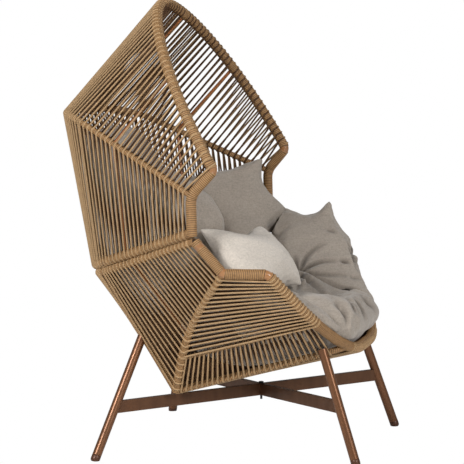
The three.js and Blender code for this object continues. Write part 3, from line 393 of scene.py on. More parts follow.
def strung_cords(name, a, b, radius_a, radius_b, count, start, end, start_b=None, end_b=None, loops=False):
    """One cord laid back and forth over two tubes: out along their outer side, back half a step on.

    The returns pass inside both tubes with loops, or else run between them, where a cushion lies against the wall.
    """
    size = sizes()
    start_b = start if start_b is None else start_b
    end_b = end if end_b is None else end_b
    len_a, len_b = lengths(a)[-1], lengths(b)[-1]
    r = size.cord_radius
    sweep = Sweep()

    def on(path, length, start, end, share):
        return along(path, (start + share * (length - start - end)) / length)

    def turned(first, second, side):
        rope = (second[0] - first[0]).normalized()
        points = []
        for (at, d), tube, forward in ((first, radius_a, 1), (second, radius_b, -1)):
            out = d.cross(rope).normalized()
            if out.dot(at - CHAIR_INSIDE) * side < 0:
                out.negate()
            ahead = out.cross(d)
            if ahead.dot(rope) * forward < 0:
                ahead.negate()
            reach = tube - 0.0005
            arc = [at + (ahead * math.cos(t) + out * math.sin(t)) * reach for t in map(math.radians, ROUND_A_TUBE)]
            points += arc if forward > 0 else arc[::-1]
        half = len(ROUND_A_TUBE)
        points[half:half] = [(points[half - 1] + points[half]) / 2]
        return points

    for i in range(count):
        share = i / (count - 1)
        first, second = on(a, len_a, start, end, share), on(b, len_b, start_b, end_b, share)
        sweep.add(frames_along(turned(first, second, 1)), lambda i, t: r, CORD_SIDES, offset=i * CORD_SHIFT)
        if i == count - 1:
            continue
        after = on(a, len_a, start, end, (i + 1) / (count - 1))
        if loops:
            back = turned(after, second, -1)
        else:
            rope = (second[0] - after[0]).normalized()
            back = [after[0] + rope * (radius_a - r), (after[0] + second[0]) / 2, second[0] - rope * (radius_b - r)]
        # The returns take the second material, the cord darkened as painted shade
        sweep.add(frames_along(back), lambda i, t: r, RETURN_SIDES, lambda i: 1, offset=i * RETURN_SHIFT)
    obj = new_object(name, sweep.mesh(name))
    materials = [strung_material(), strung_material(True)]
    return finish_piece(obj, "frame", materials, [name.replace("_cords", "")])


class Finish:
    """A small helper that wires a principled material."""

    def __init__(self, name):
        self.material = bpy.data.materials.new(name)
        self.material.use_nodes = True
        self.tree = self.material.node_tree
        self.shader = self.tree.nodes["Principled BSDF"]

    def node(self, kind, **values):
        node = self.tree.nodes.new(kind)
        for key, value in values.items():
            if key in node.inputs:
                node.inputs[key].default_value = value
            else:
                setattr(node, key, value)
        return node

    def link(self, a, out, b, into):
        self.tree.links.new(a.outputs[out], b.inputs[into])

    def ramp(self, source, out, stops):
        ramp = self.tree.nodes.new("ShaderNodeValToRGB")
        elements = ramp.color_ramp.elements
        while len(elements) < len(stops):
            elements.new(0.5)
        for element, (at, colour) in zip(elements, stops):
            element.position = at
            element.color = (*colour, 1)
        self.tree.links.new(source.outputs[out], ramp.inputs["Fac"])
        return ramp

    def mix(self, kind, factor, a, b):
        """Mixes two colours: a and b are (node, output) or a colour; factor is (node, output) or a number."""
        mix = self.tree.nodes.new("ShaderNodeMix")
        mix.data_type = "RGBA"
        mix.blend_type = kind
        for socket, value in ((mix.inputs[0], factor), (mix.inputs[6], a), (mix.inputs[7], b)):
            if isinstance(value, tuple) and hasattr(value[0], "outputs"):
                self.tree.links.new(value[0].outputs[value[1]], socket)
            elif isinstance(value, (int, float)):
                socket.default_value = value
            else:
                socket.default_value = (*value, 1)
        return mix

    def noise(self, vector, **values):
        """Noise read at a vector, given as (node, output)."""
        noise = self.node("ShaderNodeTexNoise", **values)
        self.link(*vector, noise, "Vector")
        return noise

    def scaled(self, vector, scale):
        """A vector scaled along its axes."""
        mapping = self.node("ShaderNodeMapping")
        mapping.inputs["Scale"].default_value = scale
        self.link(*vector, mapping, "Vector")
        return mapping, "Vector"

    def math(self, operation, first, second):
        """A sum and the like: first is (node, output), second is that or a number."""
        math_node = self.node("ShaderNodeMath", operation=operation)
        self.link(*first, math_node, 0)
        if isinstance(second, tuple):
            self.link(*second, math_node, 1)
        else:
            math_node.inputs[1].default_value = second
        return math_node, "Value"

    def bump(self, height, strength, distance):
        bump = self.node("ShaderNodeBump", Strength=strength, Distance=distance)
        self.link(*height, bump, "Height")
        self.link(bump, "Normal", self.shader, "Normal")

    def set(self, **values):
        for key, value in values.items():
            self.shader.inputs[key.replace("_", " ")].default_value = value


def known(name):
    """A material that is already made."""
    return bpy.data.materials.get(name)


def shade(colour, factor):
    return tuple(min(1, c * factor) for c in colour)


def cord_coat(f, colour, dark, rough):
    """Fibres common to the strung and the wound cord: patches of tone and a fine grain."""
    place_on = (f.node("ShaderNodeTexCoord"), "Object")
    patches = f.noise(place_on, Scale=60.0, Detail=4.0, Roughness=0.7)
    fibres = f.noise(place_on, Scale=1100.0, Detail=2.0)
    base = f.ramp(patches, "Fac", [(0.3, shade(colour, 0.82)), (0.5, colour), (0.7, shade(colour, 1.14))])
    grain = f.ramp(fibres, "Fac", [(0.32, shade(dark, 1.5)), (0.55, (1, 1, 1))])
    f.set(Roughness=rough, Specular_IOR_Level=0.3)
    return f.mix("MULTIPLY", 0.35, (base, "Color"), (grain, "Color")), fibres


LAY = 0.007


def crowns(f, vector):
    """How far each point lies from the groove beside its strand or turn, from 0 to 0.5."""
    parts = f.node("ShaderNodeSeparateXYZ")
    f.link(*vector, parts, "Vector")
    return f.math("PINGPONG", f.math("ADD", (parts, "X"), (parts, "Y")), 0.5)


def strung_material(in_shade=False):
    """Round cord of twisted strands, each a raised diagonal with painted shade in the grooves beside it. The returns
    inside are darker: painted shade.
    """
    name = "strung cord in painted shade" if in_shade else "strung cord"
    if known(name):
        return known(name)
    c = colours()
    f = Finish(name)
    base, _ = cord_coat(f, tuple(c.cord_inner_shade if in_shade else c.cord), tuple(c.cord_dark), 0.6)
    strand = crowns(f, f.scaled((f.node("ShaderNodeUVMap", uv_map="cord"), "UV"), (1 / LAY, 2.0, 1.0)))
    # Painted shade in the grooves between the strands
    painted_relief_shading = f.ramp(*strand, [(0.04, (0.5, 0.44, 0.38)), (0.22, (1, 1, 1))])
    coloured = f.mix("MULTIPLY", 0.55, (base, 2), (painted_relief_shading, "Color"))
    f.link(coloured, 2, f.shader, "Base Color")
    f.bump(strand, 0.6, 0.0009)
    return f.material


def wound_material():
    """Cord wound round a tube: painted shade between the turns and a painted highlight on the crown of each."""
    if known("wound cord"):
        return known("wound cord")
    c = colours()
    f = Finish("wound cord")
    base, fibres = cord_coat(f, tuple(c.wound), tuple(c.cord_dark), 0.58)
    crown = crowns(f, (f.node("ShaderNodeUVMap", uv_map="cord"), "UV"))
    # Painted shade between the turns, a painted highlight on each crown
    painted_relief_shading = f.ramp(*crown, [(0.03, (0.10, 0.07, 0.05)), (0.17, (0.8, 0.78, 0.75)), (0.42, (1.15, 1.15, 1.15))])
    coloured = f.mix("MULTIPLY", 1.0, (base, 2), (painted_relief_shading, "Color"))
    f.link(coloured, 2, f.shader, "Base Color")
    f.bump((fibres, "Fac"), 0.3, 0.0004)
    return f.material


def coat_material(name, colour, rough, streak=(1.0, 1.0, 1.0), coat=0.0, metallic=0.0):
    """Powder coat: fine orange peel and faint streaks along the metal."""
    if known(name):
        return known(name)
    f = Finish(name)
    place_on = (f.node("ShaderNodeTexCoord"), "Object")
    streaks = f.noise(f.scaled(place_on, streak), Scale=26.0, Detail=4.0, Roughness=0.6)
    peel = f.noise(place_on, Scale=1400.0, Detail=1.0)
    base = f.ramp(streaks, "Fac", [(0.3, shade(colour, 0.8)), (0.52, colour), (0.75, shade(colour, 1.22))])
    f.link(base, "Color", f.shader, "Base Color")
    gloss = f.ramp(streaks, "Fac", [(0.3, (rough * 1.25,) * 3), (0.7, (rough * 0.85,) * 3)])
    f.link(gloss, "Color", f.shader, "Roughness")
    f.bump((peel, "Fac"), 0.35, 0.00008)
    f.set(Specular_IOR_Level=0.5, Coat_Weight=coat, Coat_Roughness=0.18, Metallic=metallic)
    return f.material


def copper_material():
    return coat_material("bare elbow coat", tuple(colours().copper), 0.34, coat=0.3)


def leg_material(bar=False):
    """Bronze coat of the legs, and a rougher copy for the flat bars, darkened as painted shade."""
    name, darker, rough = ("bar coat", 0.62, 0.42) if bar else ("leg coat", 1, 0.34)
    # For the bars the coat is darkened to 0.62: painted shade
    colour = shade(tuple(colours().leg), darker)
    return coat_material(name, colour, rough, (1.0, 1.0, 0.12), coat=0.05, metallic=0.55)


def linen(name, colour, heather, weave):
    """Plain-woven outdoor linen: crossed threads with slubs, heathered and slightly fuzzy."""
    if known(name):
        return known(name)
    f = Finish(name)
    place_on = (f.node("ShaderNodeTexCoord"), "Object")
    warp, weft = ((f.noise(f.scaled(place_on, scale), Scale=1.0, Detail=2.0, Roughness=0.65), "Fac")
                  for scale in ((weave, weave, 40.0), (40.0, 40.0, weave)))
    half = f.math("MULTIPLY", f.math("ADD", warp, weft), 0.5)
    cloudy = f.noise(place_on, Scale=7.0, Detail=3.0)
    tones = [(0.34, shade(colour, 1 - heather)), (0.5, colour), (0.66, shade(colour, 1 + heather * 0.7))]
    yarn = f.ramp(*half, tones)
    cloud = f.ramp(cloudy, "Fac", [(0.3, (0.93, 0.93, 0.93)), (0.7, (1.04, 1.04, 1.04))])
    slubs = f.noise(place_on, Scale=150.0, Detail=3.0, Roughness=0.75)
    tones = [(0.3, (1 - heather * 0.75,) * 3), (0.5, (1, 1, 1)), (0.7, (1 + heather * 0.55,) * 3)]
    slub = f.ramp(slubs, "Fac", tones)
    # Painted shade in the creases and the tuft's dimple, from the attribute that soft_piece writes
    fold_shade = f.node("ShaderNodeAttribute", attribute_name="fold_shade")
    painted_crease_shade = f.ramp(fold_shade, "Fac", [(0.0, (1, 1, 1)), (1.0, (0.3, 0.28, 0.26))])
    mixed = f.mix("MULTIPLY", 1.0, (yarn, "Color"), (cloud, "Color"))
    mixed = f.mix("MULTIPLY", 1.0, (mixed, 2), (slub, "Color"))
    mixed = f.mix("MULTIPLY", 1.0, (mixed, 2), (painted_crease_shade, "Color"))
    f.link(mixed, 2, f.shader, "Base Color")
    f.bump(half, 0.45, 0.0007)
    f.set(Roughness=0.92, Specular_IOR_Level=0.12, Sheen_Weight=0.25, Sheen_Roughness=0.55)
    return f.material


# Azimuth, elevation and roll (degrees), place and lens (mm) of the studio's camera
CAMERA_TURN = (-74.96, 6.17, -0.6)
CAMERA_AT = place(-7066, -1828, 1493)
CAMERA_LENS = 170.69


class POD_OT_stage(bpy.types.Operator):
    """Pale floor, soft studio light and the camera"""
    bl_idname = "pod_chair.stage"
    bl_label = "Studio stage"

    def execute(self, context):
        clear_selection()
        bpy.ops.mesh.primitive_plane_add(size=60, location=(0, 0, 0))
        floor = context.active_object
        floor.name = "studio_floor"
        f = Finish("studio floor")
        ground = tuple(colours().ground)
        f.set(Roughness=1.0, Specular_IOR_Level=0.0)
        f.shader.inputs["Base Color"].default_value = (*ground, 1)
        glow = f.node("ShaderNodeEmission", Strength=1.0)
        glow.inputs["Color"].default_value = (1, 1, 1, 1)
        mix = f.node("ShaderNodeMixShader")
        f.link(f.node("ShaderNodeLightPath"), "Is Camera Ray", mix, 0)
        f.link(f.shader, "BSDF", mix, 1)
        f.link(glow, "Emission", mix, 2)
        f.link(mix, "Shader", f.tree.nodes["Material Output"], "Surface")
        floor.data.materials.append(f.material)

        world = bpy.data.worlds.new("studio")
        context.scene.world = world
        world.use_nodes = True
        tree = world.node_tree
        lit, seen = tree.nodes["Background"], tree.nodes.new("ShaderNodeBackground")
        for node, strength in ((lit, 0.26), (seen, 1.0)):
            node.inputs["Color"].default_value = (1, 1, 1, 1)
            node.inputs["Strength"].default_value = strength
        mix = tree.nodes.new("ShaderNodeMixShader")
        tree.links.new(tree.nodes.new("ShaderNodeLightPath").outputs["Is Camera Ray"], mix.inputs[0])
        tree.links.new(lit.outputs[0], mix.inputs[1])
        tree.links.new(seen.outputs[0], mix.inputs[2])
        tree.links.new(mix.outputs[0], tree.nodes["World Output"].inputs["Surface"])

        for name, at, aim, size, power in (
            ("key", (-5.2, 2.2, 4.0), (0, 0, 0.7), 1.2, 300),
            ("second", (-3.2, -4.6, 3.0), (0, 0.1, 0.7), 1.0, 170),
            ("rim", (3.6, -1.6, 3.0), (0, 0, 0.8), 1.6, 16),
        ):
            bpy.ops.object.light_add(type="AREA", location=at)
            light = context.active_object
            light.name = "studio_" + name
            light.data.size = size
            light.data.energy = power
            light.rotation_euler = (Vector(aim) - Vector(at)).to_track_quat("-Z", "Y").to_euler()

        azimuth, elevation, roll = (math.radians(angle) for angle in CAMERA_TURN)
        level = math.cos(elevation)
        back = Vector((math.sin(azimuth) * level, -math.cos(azimuth) * level, math.sin(elevation)))
        right = (-back).cross(Vector((0, 0, 1))).normalized()
        up = right.cross(-back)
        right = (right * math.cos(roll) + up * math.sin(roll)).normalized()
        up = right.cross(-back)
        data = bpy.data.cameras.new("photo_camera")
        camera = new_object("photo_camera", data)
        camera.matrix_world = Matrix((
            (right.x, up.x, back.x, CAMERA_AT.x),
            (right.y, up.y, back.y, CAMERA_AT.y),
            (right.z, up.z, back.z, CAMERA_AT.z),
            (0, 0, 0, 1),
        ))
        data.sensor_width = 36
        data.lens = CAMERA_LENS
        data.clip_end = 200
        context.scene.camera = camera
        context.scene.view_settings.view_transform = "Standard"
        return {"FINISHED"}


class POD_OT_tubes(bpy.types.Operator):
    """Tubes wound with cord, bare and copper coloured at the elbows"""
    bl_idname = "pod_chair.tubes"
    bl_label = "Wound tubes"

    def execute(self, context):
        s = sizes()
        elbows = [nearest(FRONT_FRAME, p)[1] for p in (ELBOW, *flipped([ELBOW]))]
        wound_tube("front_frame_wound", FRONT_FRAME, s.hood_tube, elbows, nodes=["hood_front_frame"])
        wound_tube("shoulder_rib_wound", SHOULDER, s.shoulder_tube, sides=12, nodes=["hood_shoulder_rib"])
        wound_tube("base_rib_wound", BASE, s.base_tube, nodes=["hood_base_rib"])
        corners = [RIM_CORNERS[1], RIM_CORNERS[2]]
        bare = [nearest(RIM, p)[1] for p in corners + flipped(corners)] + [0.012, 0.988]
        wound_tube("rim_wound", RIM, s.hood_tube, bare, nodes=["seat_rim"])
        wound_tube("top_rib_wound", TOP, s.top_tube, sides=12, nodes=["seat_top_rib"])
        wound_tube("ring_wound", RING, s.ring_tube, sides=12, nodes=["seat_ring"])
        for side, put in SIDES:
            wound_tube(f"crease_rib_wound_{side}", put(CREASE),
                       lambda t: s.crease_tube + (s.crease_foot - s.crease_tube) * t,
                       sides=12, nodes=[f"seat_crease_rib_{side}"])
            wound_tube(f"rail_wound_{side}", put(RAIL), s.rail_tube, sides=10, nodes=[f"seat_rail_{side}"])
            wound_tube(f"rear_rib_wound_{side}", put(REAR_RIB), s.rear_tube, sides=12, nodes=[f"seat_rear_rib_{side}"])
        return {"FINISHED"}


class POD_OT_cords(bpy.types.Operator):
    """Cords of the roof, the walls, the arms, the skirts and the bottom"""
    bl_idname = "pod_chair.cords"
    bl_label = "Strung cords"

    def execute(self, context):
        s = sizes()

        def across(half, start):
            part = stretch(half, start, 1)
            return part + flipped(part)[::-1][1:]

        def cords_on(path, pitch, start, end):
            return round((lengths(path)[-1] - start - end) / pitch) + 1

        def hood(path, start, end):
            return cords_on(path, s.cord_pitch, start, end)

        def string(name, a, b, radius_a, radius_b, count, *margins, loops=False):
            strung_cords(name + "_cords", put(a), put(b), radius_a, radius_b, count, *margins, loops=loops)

        put = SIDES[0][1]
        lower, middle = stretch(SHOULDER_HALF, 0, LOWER_ROD), stretch(SHOULDER_HALF, LOWER_ROD, UPPER_ROD)
        front, rear = stretch(SHOULDER_HALF, 0, SIDE_ROD), stretch(SHOULDER_HALF, SIDE_ROD, CORNER)
        ridge, back = across(SHOULDER_HALF, UPPER_ROD), across(SHOULDER_HALF, CORNER)
        string("hood_roof_ridge", across(ARCH_HALF, UPPER_ROD), ridge, s.hood_tube, s.shoulder_tube,
               hood(ridge, 0.010, 0.010), 0.010, 0.010, loops=True)
        string("hood_back", back, across(BASE_HALF, CORNER), s.shoulder_tube, s.base_tube,
               hood(back, 0.004, 0.004), 0.004, 0.004)
        ring_rear = [RING_CORNER, flipped([RING_CORNER])[0]]
        top_rear = across(TOP_HALF, REAR_SHARE)
        string("seat_back", top_rear, ring_rear, s.top_tube, s.ring_tube,
               cords_on(top_rear, s.seat_pitch, 0.019, 0.019), 0.019, 0.019)
        nose = nearest(RIM, RING_NOSE)[1]
        string("seat_bottom", ring_rear, stretch(RIM, nose, 1 - nose), s.ring_tube, s.hood_tube,
               cords_on(ring_rear, s.cord_pitch, 0.016, 0.016), 0.016, 0.016)
        for side, put in SIDES:
            string(f"hood_roof_lower_{side}", stretch(ARCH_HALF, 0, LOWER_ROD), lower, s.hood_tube, s.shoulder_tube,
                   hood(lower, 0.026, 0.010), 0.016, 0.010, 0.026, 0.010, loops=True)
            string(f"hood_roof_middle_{side}", stretch(ARCH_HALF, LOWER_ROD, UPPER_ROD), middle, s.hood_tube,
                   s.shoulder_tube, hood(middle, 0.010, 0.010), 0.010, 0.010, loops=True)
            string(f"hood_side_front_{side}", front, stretch(BASE_HALF, 0, SIDE_ROD), s.shoulder_tube, s.base_tube,
                   hood(front, 0.026, 0.010), 0.026, 0.010)
            string(f"hood_side_rear_{side}", rear, stretch(BASE_HALF, SIDE_ROD, CORNER), s.shoulder_tube, s.base_tube,
                   hood(rear, 0.010, 0.006), 0.010, 0.006)
            top_front, top_back = stretch(TOP_HALF, 0, SEAT_ROD), stretch(TOP_HALF, SEAT_ROD, REAR_SHARE)
            string(f"seat_side_front_{side}", top_front, stretch(CREASE, 0, SEAT_ROD_FOOT), s.top_tube, s.crease_tube,
                   cords_on(top_front, s.seat_pitch, 0.026, 0.009), 0.026, 0.009, 0.024, 0.009)
            string(f"seat_side_rear_{side}", top_back, stretch(CREASE, SEAT_ROD_FOOT, 1), s.top_tube, s.crease_foot,
                   cords_on(top_back, s.seat_pitch, 0.009, 0.017), 0.009, 0.017, 0.009, 0.014)
            arm = stretch(RIM, nearest(RIM, RIM_CORNERS[2])[1], nearest(RIM, RAIL[1])[1])
            crease = stretch(CREASE, 0, nearest(CREASE, RAIL_REAR)[1])
            string(f"seat_arm_{side}", arm, crease, s.hood_tube, s.crease_tube, s.arm_cords, 0.018, 0.010, 0.020, 0.012)
            string(f"seat_skirt_{side}", [RING_CORNER, RING_FRONT], RAIL, s.ring_tube, s.rail_tube,
                   s.skirt_cords, 0.018, 0.014)
        return {"FINISHED"}


def round_bar(name, a, b, radius, sides=48):
    """A cylinder between two points."""
    clear_selection()
    axis = b - a
    bpy.ops.mesh.primitive_cylinder_add(vertices=sides, radius=radius, depth=axis.length, location=(a + b) / 2,
                                        rotation=axis.to_track_quat("Z", "Y").to_euler())
    obj = bpy.context.active_object
    obj.name = name
    return obj


def softened(obj, width, segments):
    """Rounds the sharp edges and smooths across them."""
    only(obj)
    bevel = obj.modifiers.new("edges", "BEVEL")
    bevel.width = width
    bevel.segments = segments
    bevel.limit_method = "ANGLE"
    bevel.angle_limit = math.radians(40)
    bpy.ops.object.modifier_apply(modifier=bevel.name)
    bpy.ops.object.shade_smooth_by_angle(angle=math.radians(35))


# Distances (mm) from the tip of a foot cap at which its round nose is drawn
NOSE = (0, 0.3, 1, 2, 3.5, 5.5, 9, 14, 22, 23)


def cap_radius(t):
    """A cap's radius (m) at a distance (mm) from its tip: a round nose, then straight, with the top edge eased."""
    if t < 9:
        return 0.0062 + 0.009 * math.sqrt(max(0.0, 1 - (1 - t / 9) ** 2))
    return 0.0152 if t < 23 else 0.0144


class POD_OT_metal(bpy.types.Operator):
    """Rods, legs, crossed bars, bolt and foot caps"""
    bl_idname = "pod_chair.metal"
    bl_label = "Rods and base"

    def execute(self, context):
        rod = coat_material("rod coat", tuple(colours().rod), 0.4, coat=0.2)
        foot = coat_material("foot cap", tuple(colours().foot), 0.42, coat=0.05, metallic=0.3)
        bolt = coat_material("bolt finish", (0.012, 0.011, 0.011), 0.35)
        down = (REAR_TOP.z - 0.387) / (REAR_TOP.z - 0.206)
        ends = (("front", place(330, -419, 0), place(285, -299, 368)),
                ("rear", place(442, 419, 0), along(REAR_RIB, down)[0]))
        for end, foot_at, top_at in ends:
            for side, put in SIDES:
                low, high = put([foot_at, top_at])
                up = (high - low).normalized()
                leg = round_bar(f"leg_{end}_{side}_tube", low + up * 0.0193, high - up * 0.006, 0.015)
                bpy.ops.object.shade_smooth_by_angle(angle=math.radians(35))
                finish_piece(leg, "frame", [leg_material()], [f"leg_{end}_{side}"])
                nose = Sweep()
                rings = frames_along([low + up * (t / 1000 - 0.004) for t in NOSE])
                nose.add(rings, lambda i, turn: cap_radius(NOSE[i]), 40)
                cap = new_object(f"foot_cap_{end}_{side}_nose", nose.mesh(f"foot_cap_{end}_{side}_nose"))
                finish_piece(cap, "frame", [foot], [f"foot_cap_{end}_{side}"])
                for v in cap.data.vertices:
                    v.co.z = max(v.co.z, 0.0)
        for name, node in list(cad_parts.items()):
            if name.startswith("cross_bar"):
                bar = new_object(f"{name}_coated", node.data.copy())
                softened(bar, 0.0016, 3)
                finish_piece(bar, "frame", [leg_material(True)], [name])
                continue
            if "_rod_" in name:
                finish = rod
            elif name == "cross_bolt":
                finish = bolt
            else:
                continue
            node.data.materials.clear()
            node.data.materials.append(finish)
            only(node)
            bpy.ops.object.shade_smooth_by_angle(angle=math.radians(50))
        return {"FINISHED"}


TUFT = place(0, -160, 562)
# The creases are drawn as a viewer at the front left sees them, level and upright about the tuft.
FACE = Vector((-0.960, -0.258, 0.107))
LEVEL = Vector((0, 0, 1)).cross(FACE).normalized()
UPRIGHT = FACE.cross(LEVEL)
# Each crease: how far right and up of the tuft it starts (mm), its length (mm), the headings that it
# turns through (degrees), its depth and half width (mm), and whether it fades in as well as out
CREASES = (
    (-2, 8, 62, (100, 96, 92), 12, 7, False),
    (8, 8, 140, (68, 62, 30, 18), 12, 7, False),
    (14, 6, 135, (40, 24, 6, -4), 14, 6.5, False),
    (16, 2, 165, (-4, -6, 0, -3), 9, 7, False),
    (6, -3, 130, (-22, -42, -46, -20), 20, 8, False),
    (100, -62, 110, (-12, 8, 2, -22), 24, 7, True),
    (14, -8, 40, (-62, -78), 13, 6.5, False),
    (0, -10, 44, (-98, -112), 12, 6.5, False),
    (26, -16, 60, (-52, -60, -40), 10, 7, False),
    (140, -70, 66, (-30, -58, -72), 10, 7, True),
    (104, -84, 48, (-38, -62), 9, 7, True),
    (160, -66, 90, (-28, -62, -80), 11, 7, True),
    (124, -96, 60, (-48, -70, -84), 9, 8, True),
    (150, 44, 34, (-8, -14), 11, 6, True),
    (104, 150, 36, (-8, -16), 7, 7, True),
    (180, -16, 40, (4, -8), 6, 7, True),
)


def crease_line(right, up, length, headings):
    """Points of a crease in the viewer's plane, as its heading turns evenly through the given ones."""
    at, line, steps = [right, up], [(right, up)], 14
    for i in range(steps):
        t = (i + 0.5) / steps * (len(headings) - 1)
        k = min(int(t), len(headings) - 2)
        heading = math.radians(headings[k] + (headings[k + 1] - headings[k]) * (t - k))
        at = [at[0] + math.cos(heading) * length / steps, at[1] + math.sin(heading) * length / steps]
        line.append(tuple(at))
    return line


LINES = [(crease_line(*crease[:4]), *crease[4:]) for crease in CREASES]


# Depth, reach and reach of the shade of the tuft's dimple (mm)
TUFT_DEPTH, TUFT_REACH, TUFT_SHADE = 18, 20, 14


def creased(points):
    """How far the creases move the cloth at each point (m), with a swell on both sides of each, and how strong the
    painted shade along them is.
    """
    x = (points - np.array(TUFT)) @ np.array(LEVEL) * 1000
    y = (points - np.array(TUFT)) @ np.array(UPRIGHT) * 1000
    move = -TUFT_DEPTH * np.exp(-(x * x + y * y) / TUFT_REACH ** 2)
    dark = np.exp(-(x * x + y * y) / TUFT_SHADE ** 2)
    for line, depth, half, fades_in in LINES:
        best, share = np.full(len(x), 1e9), np.zeros(len(x))
        for i, ((x0, y0), (x1, y1)) in enumerate(zip(line, line[1:])):
            dx, dy = x1 - x0, y1 - y0
            t = np.clip(((x - x0) * dx + (y - y0) * dy) / (dx * dx + dy * dy), 0, 1)
            d = np.hypot(x - x0 - dx * t, y - y0 - dy * t)
            share = np.where(d < best, (i + t) / (len(line) - 1), share)
            best = np.minimum(best, d)
        strength = (np.sin(math.pi * np.clip(share, 0.02, 0.98)) if fades_in else 1 - share) ** 0.5
        line_in = strength * np.exp(-(best / half) ** 2)
        dark = np.maximum(dark, line_in * min(1, depth / 13))
        move += depth * (strength * 0.3 * np.exp(-((best - half * 2.1) / (half * 1.3)) ** 2) - line_in)
    return move / 1000, dark


def tufted(points, normals):
    """The creases as seen from the front left, and the same ones mirrored for the other side."""
    move, dark = np.zeros(len(points)), np.zeros(len(points))
    for mirror in (1, -1):
        turn = np.array((mirror, 1, 1))
        facing = np.clip(normals * turn @ np.array(FACE) / 0.3, 0, 1)
        side_move, side_dark = creased(points * turn)
        move += side_move * facing
        dark = np.maximum(dark, side_dark * facing)
    return move, dark


def slack(points, salt):
    """Slow unevenness of the filling."""
    x, y, z = points.T
    broad = np.sin(x * 31 + z * 23 + salt) + np.sin(y * 37 - z * 29 + salt * 2)
    return 0.0022 * broad + 0.0008 * np.sin(x * 83 + y * 71 + z * 64 + salt * 3)


def read(data, kind):
    """All vertices' places or normals as rows."""
    values = np.empty(len(data) * 3)
    data.foreach_get(kind, values)
    return values.reshape(-1, 3)


def eased(obj, rounds):
    """Smooths steps away without shrinking the form."""
    for factor in (0.5, -0.53) * rounds:
        ease = obj.modifiers.new("ease", "SMOOTH")
        ease.factor = factor
        ease.iterations = 1
        bpy.ops.object.modifier_apply(modifier=ease.name)


def drawn_out(points, tips):
    """Draws the cloth out to its sewn corners and edges, each given by its place (mm) and reach (m)."""
    for *at, reach in tips:
        tip = np.array(place(*at))
        nearest_one = points[np.argmin(np.linalg.norm(points - tip, axis=1))].copy()
        share = np.clip(1 - np.linalg.norm(points - nearest_one, axis=1) / reach, 0, 1)
        points += (tip - nearest_one) * share[:, None] ** 2
    return points


def press_in(points, at, shift, reach):
    """Moves the cloth round a point, fading out with distance."""
    share = np.clip(1 - np.linalg.norm(points - np.array(at), axis=1) / reach, 0, 1)
    return points + np.array(shift) * (share * share * (3 - 2 * share))[:, None]


def slumped(points):
    """The pillow's top edge sags between its corners, and its free edge draws in."""
    points = press_in(points, place(-215, 20, 740), (0, 0.002, -0.032), 0.15)
    return press_in(points, place(-40, -95, 668), (-0.030, 0.014, -0.004), 0.13)


def leaned(points):
    """The right wing leans back beside the pillow."""
    return press_in(points, place(-404, 60, 865), (0.006, 0.078, -0.045), 0.21)


def tucked(points):
    """The left wing closes on the petal below it."""
    return press_in(points, place(392, 14, 718), (0, -0.006, -0.007), 0.08)


def spread(points):
    """The left petal meets the wing above it and runs out full over the seat's flank."""
    points = press_in(points, place(392, 10, 708), (0, 0.006, 0.007), 0.08)
    return press_in(points, place(405, -228, 634), (0.004, -0.020, -0.004), 0.09)


# How far out a soft piece may stand of its plain solid, and what it keeps clear of a neighbour (m)
MOST_ROOM, CLEARANCE = 0.03, 0.0006


def held_in(obj, node):
    """Keeps a soft piece off its neighbours: no point lies farther out of its plain solid than the room there."""
    def tree_of(nodes):
        verts, faces = [], []
        for item in nodes:
            mesh, first = item.data, len(verts)
            verts += [item.matrix_world @ v.co for v in mesh.vertices]
            faces += [[first + i for i in face.vertices] for face in mesh.polygons]
        return BVHTree.FromPolygons(verts, faces)

    own = tree_of([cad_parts[node]])
    others = tree_of([item for name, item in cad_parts.items() if name != node])
    for v in obj.data.vertices:
        hit, normal, _, _ = own.find_nearest(v.co)
        out = v.co - hit
        if out.dot(normal) <= 0:
            continue
        near = others.find_nearest(hit, MOST_ROOM)[3]
        room = max(0.0, (MOST_ROOM if near is None else near) - CLEARANCE)
        if out.length > room:
            v.co = hit + out.normalized() * room
    obj.data.update()


def sat_in(points):
    """The hollows in front of the tuft and by the pillow's corner, and the left flank tucked under its petal."""
    x, y, z = (points - np.array(place(20, -245, 0))).T
    dip = 0.038 * np.exp(-(x / 0.15) ** 2 - (y / 0.075) ** 2)
    dip += 0.030 * np.exp(-((x + 0.15) / 0.09) ** 2 - ((y - 0.08) / 0.05) ** 2)
    points[:, 2] -= dip * np.clip((z - 0.42) / 0.1, 0, 1)
    return press_in(points, place(380, -285, 600), (-0.034, 0.010, -0.026), 0.13)


EASE_ROUNDS = 6
CLOTH_FRAMES = 20


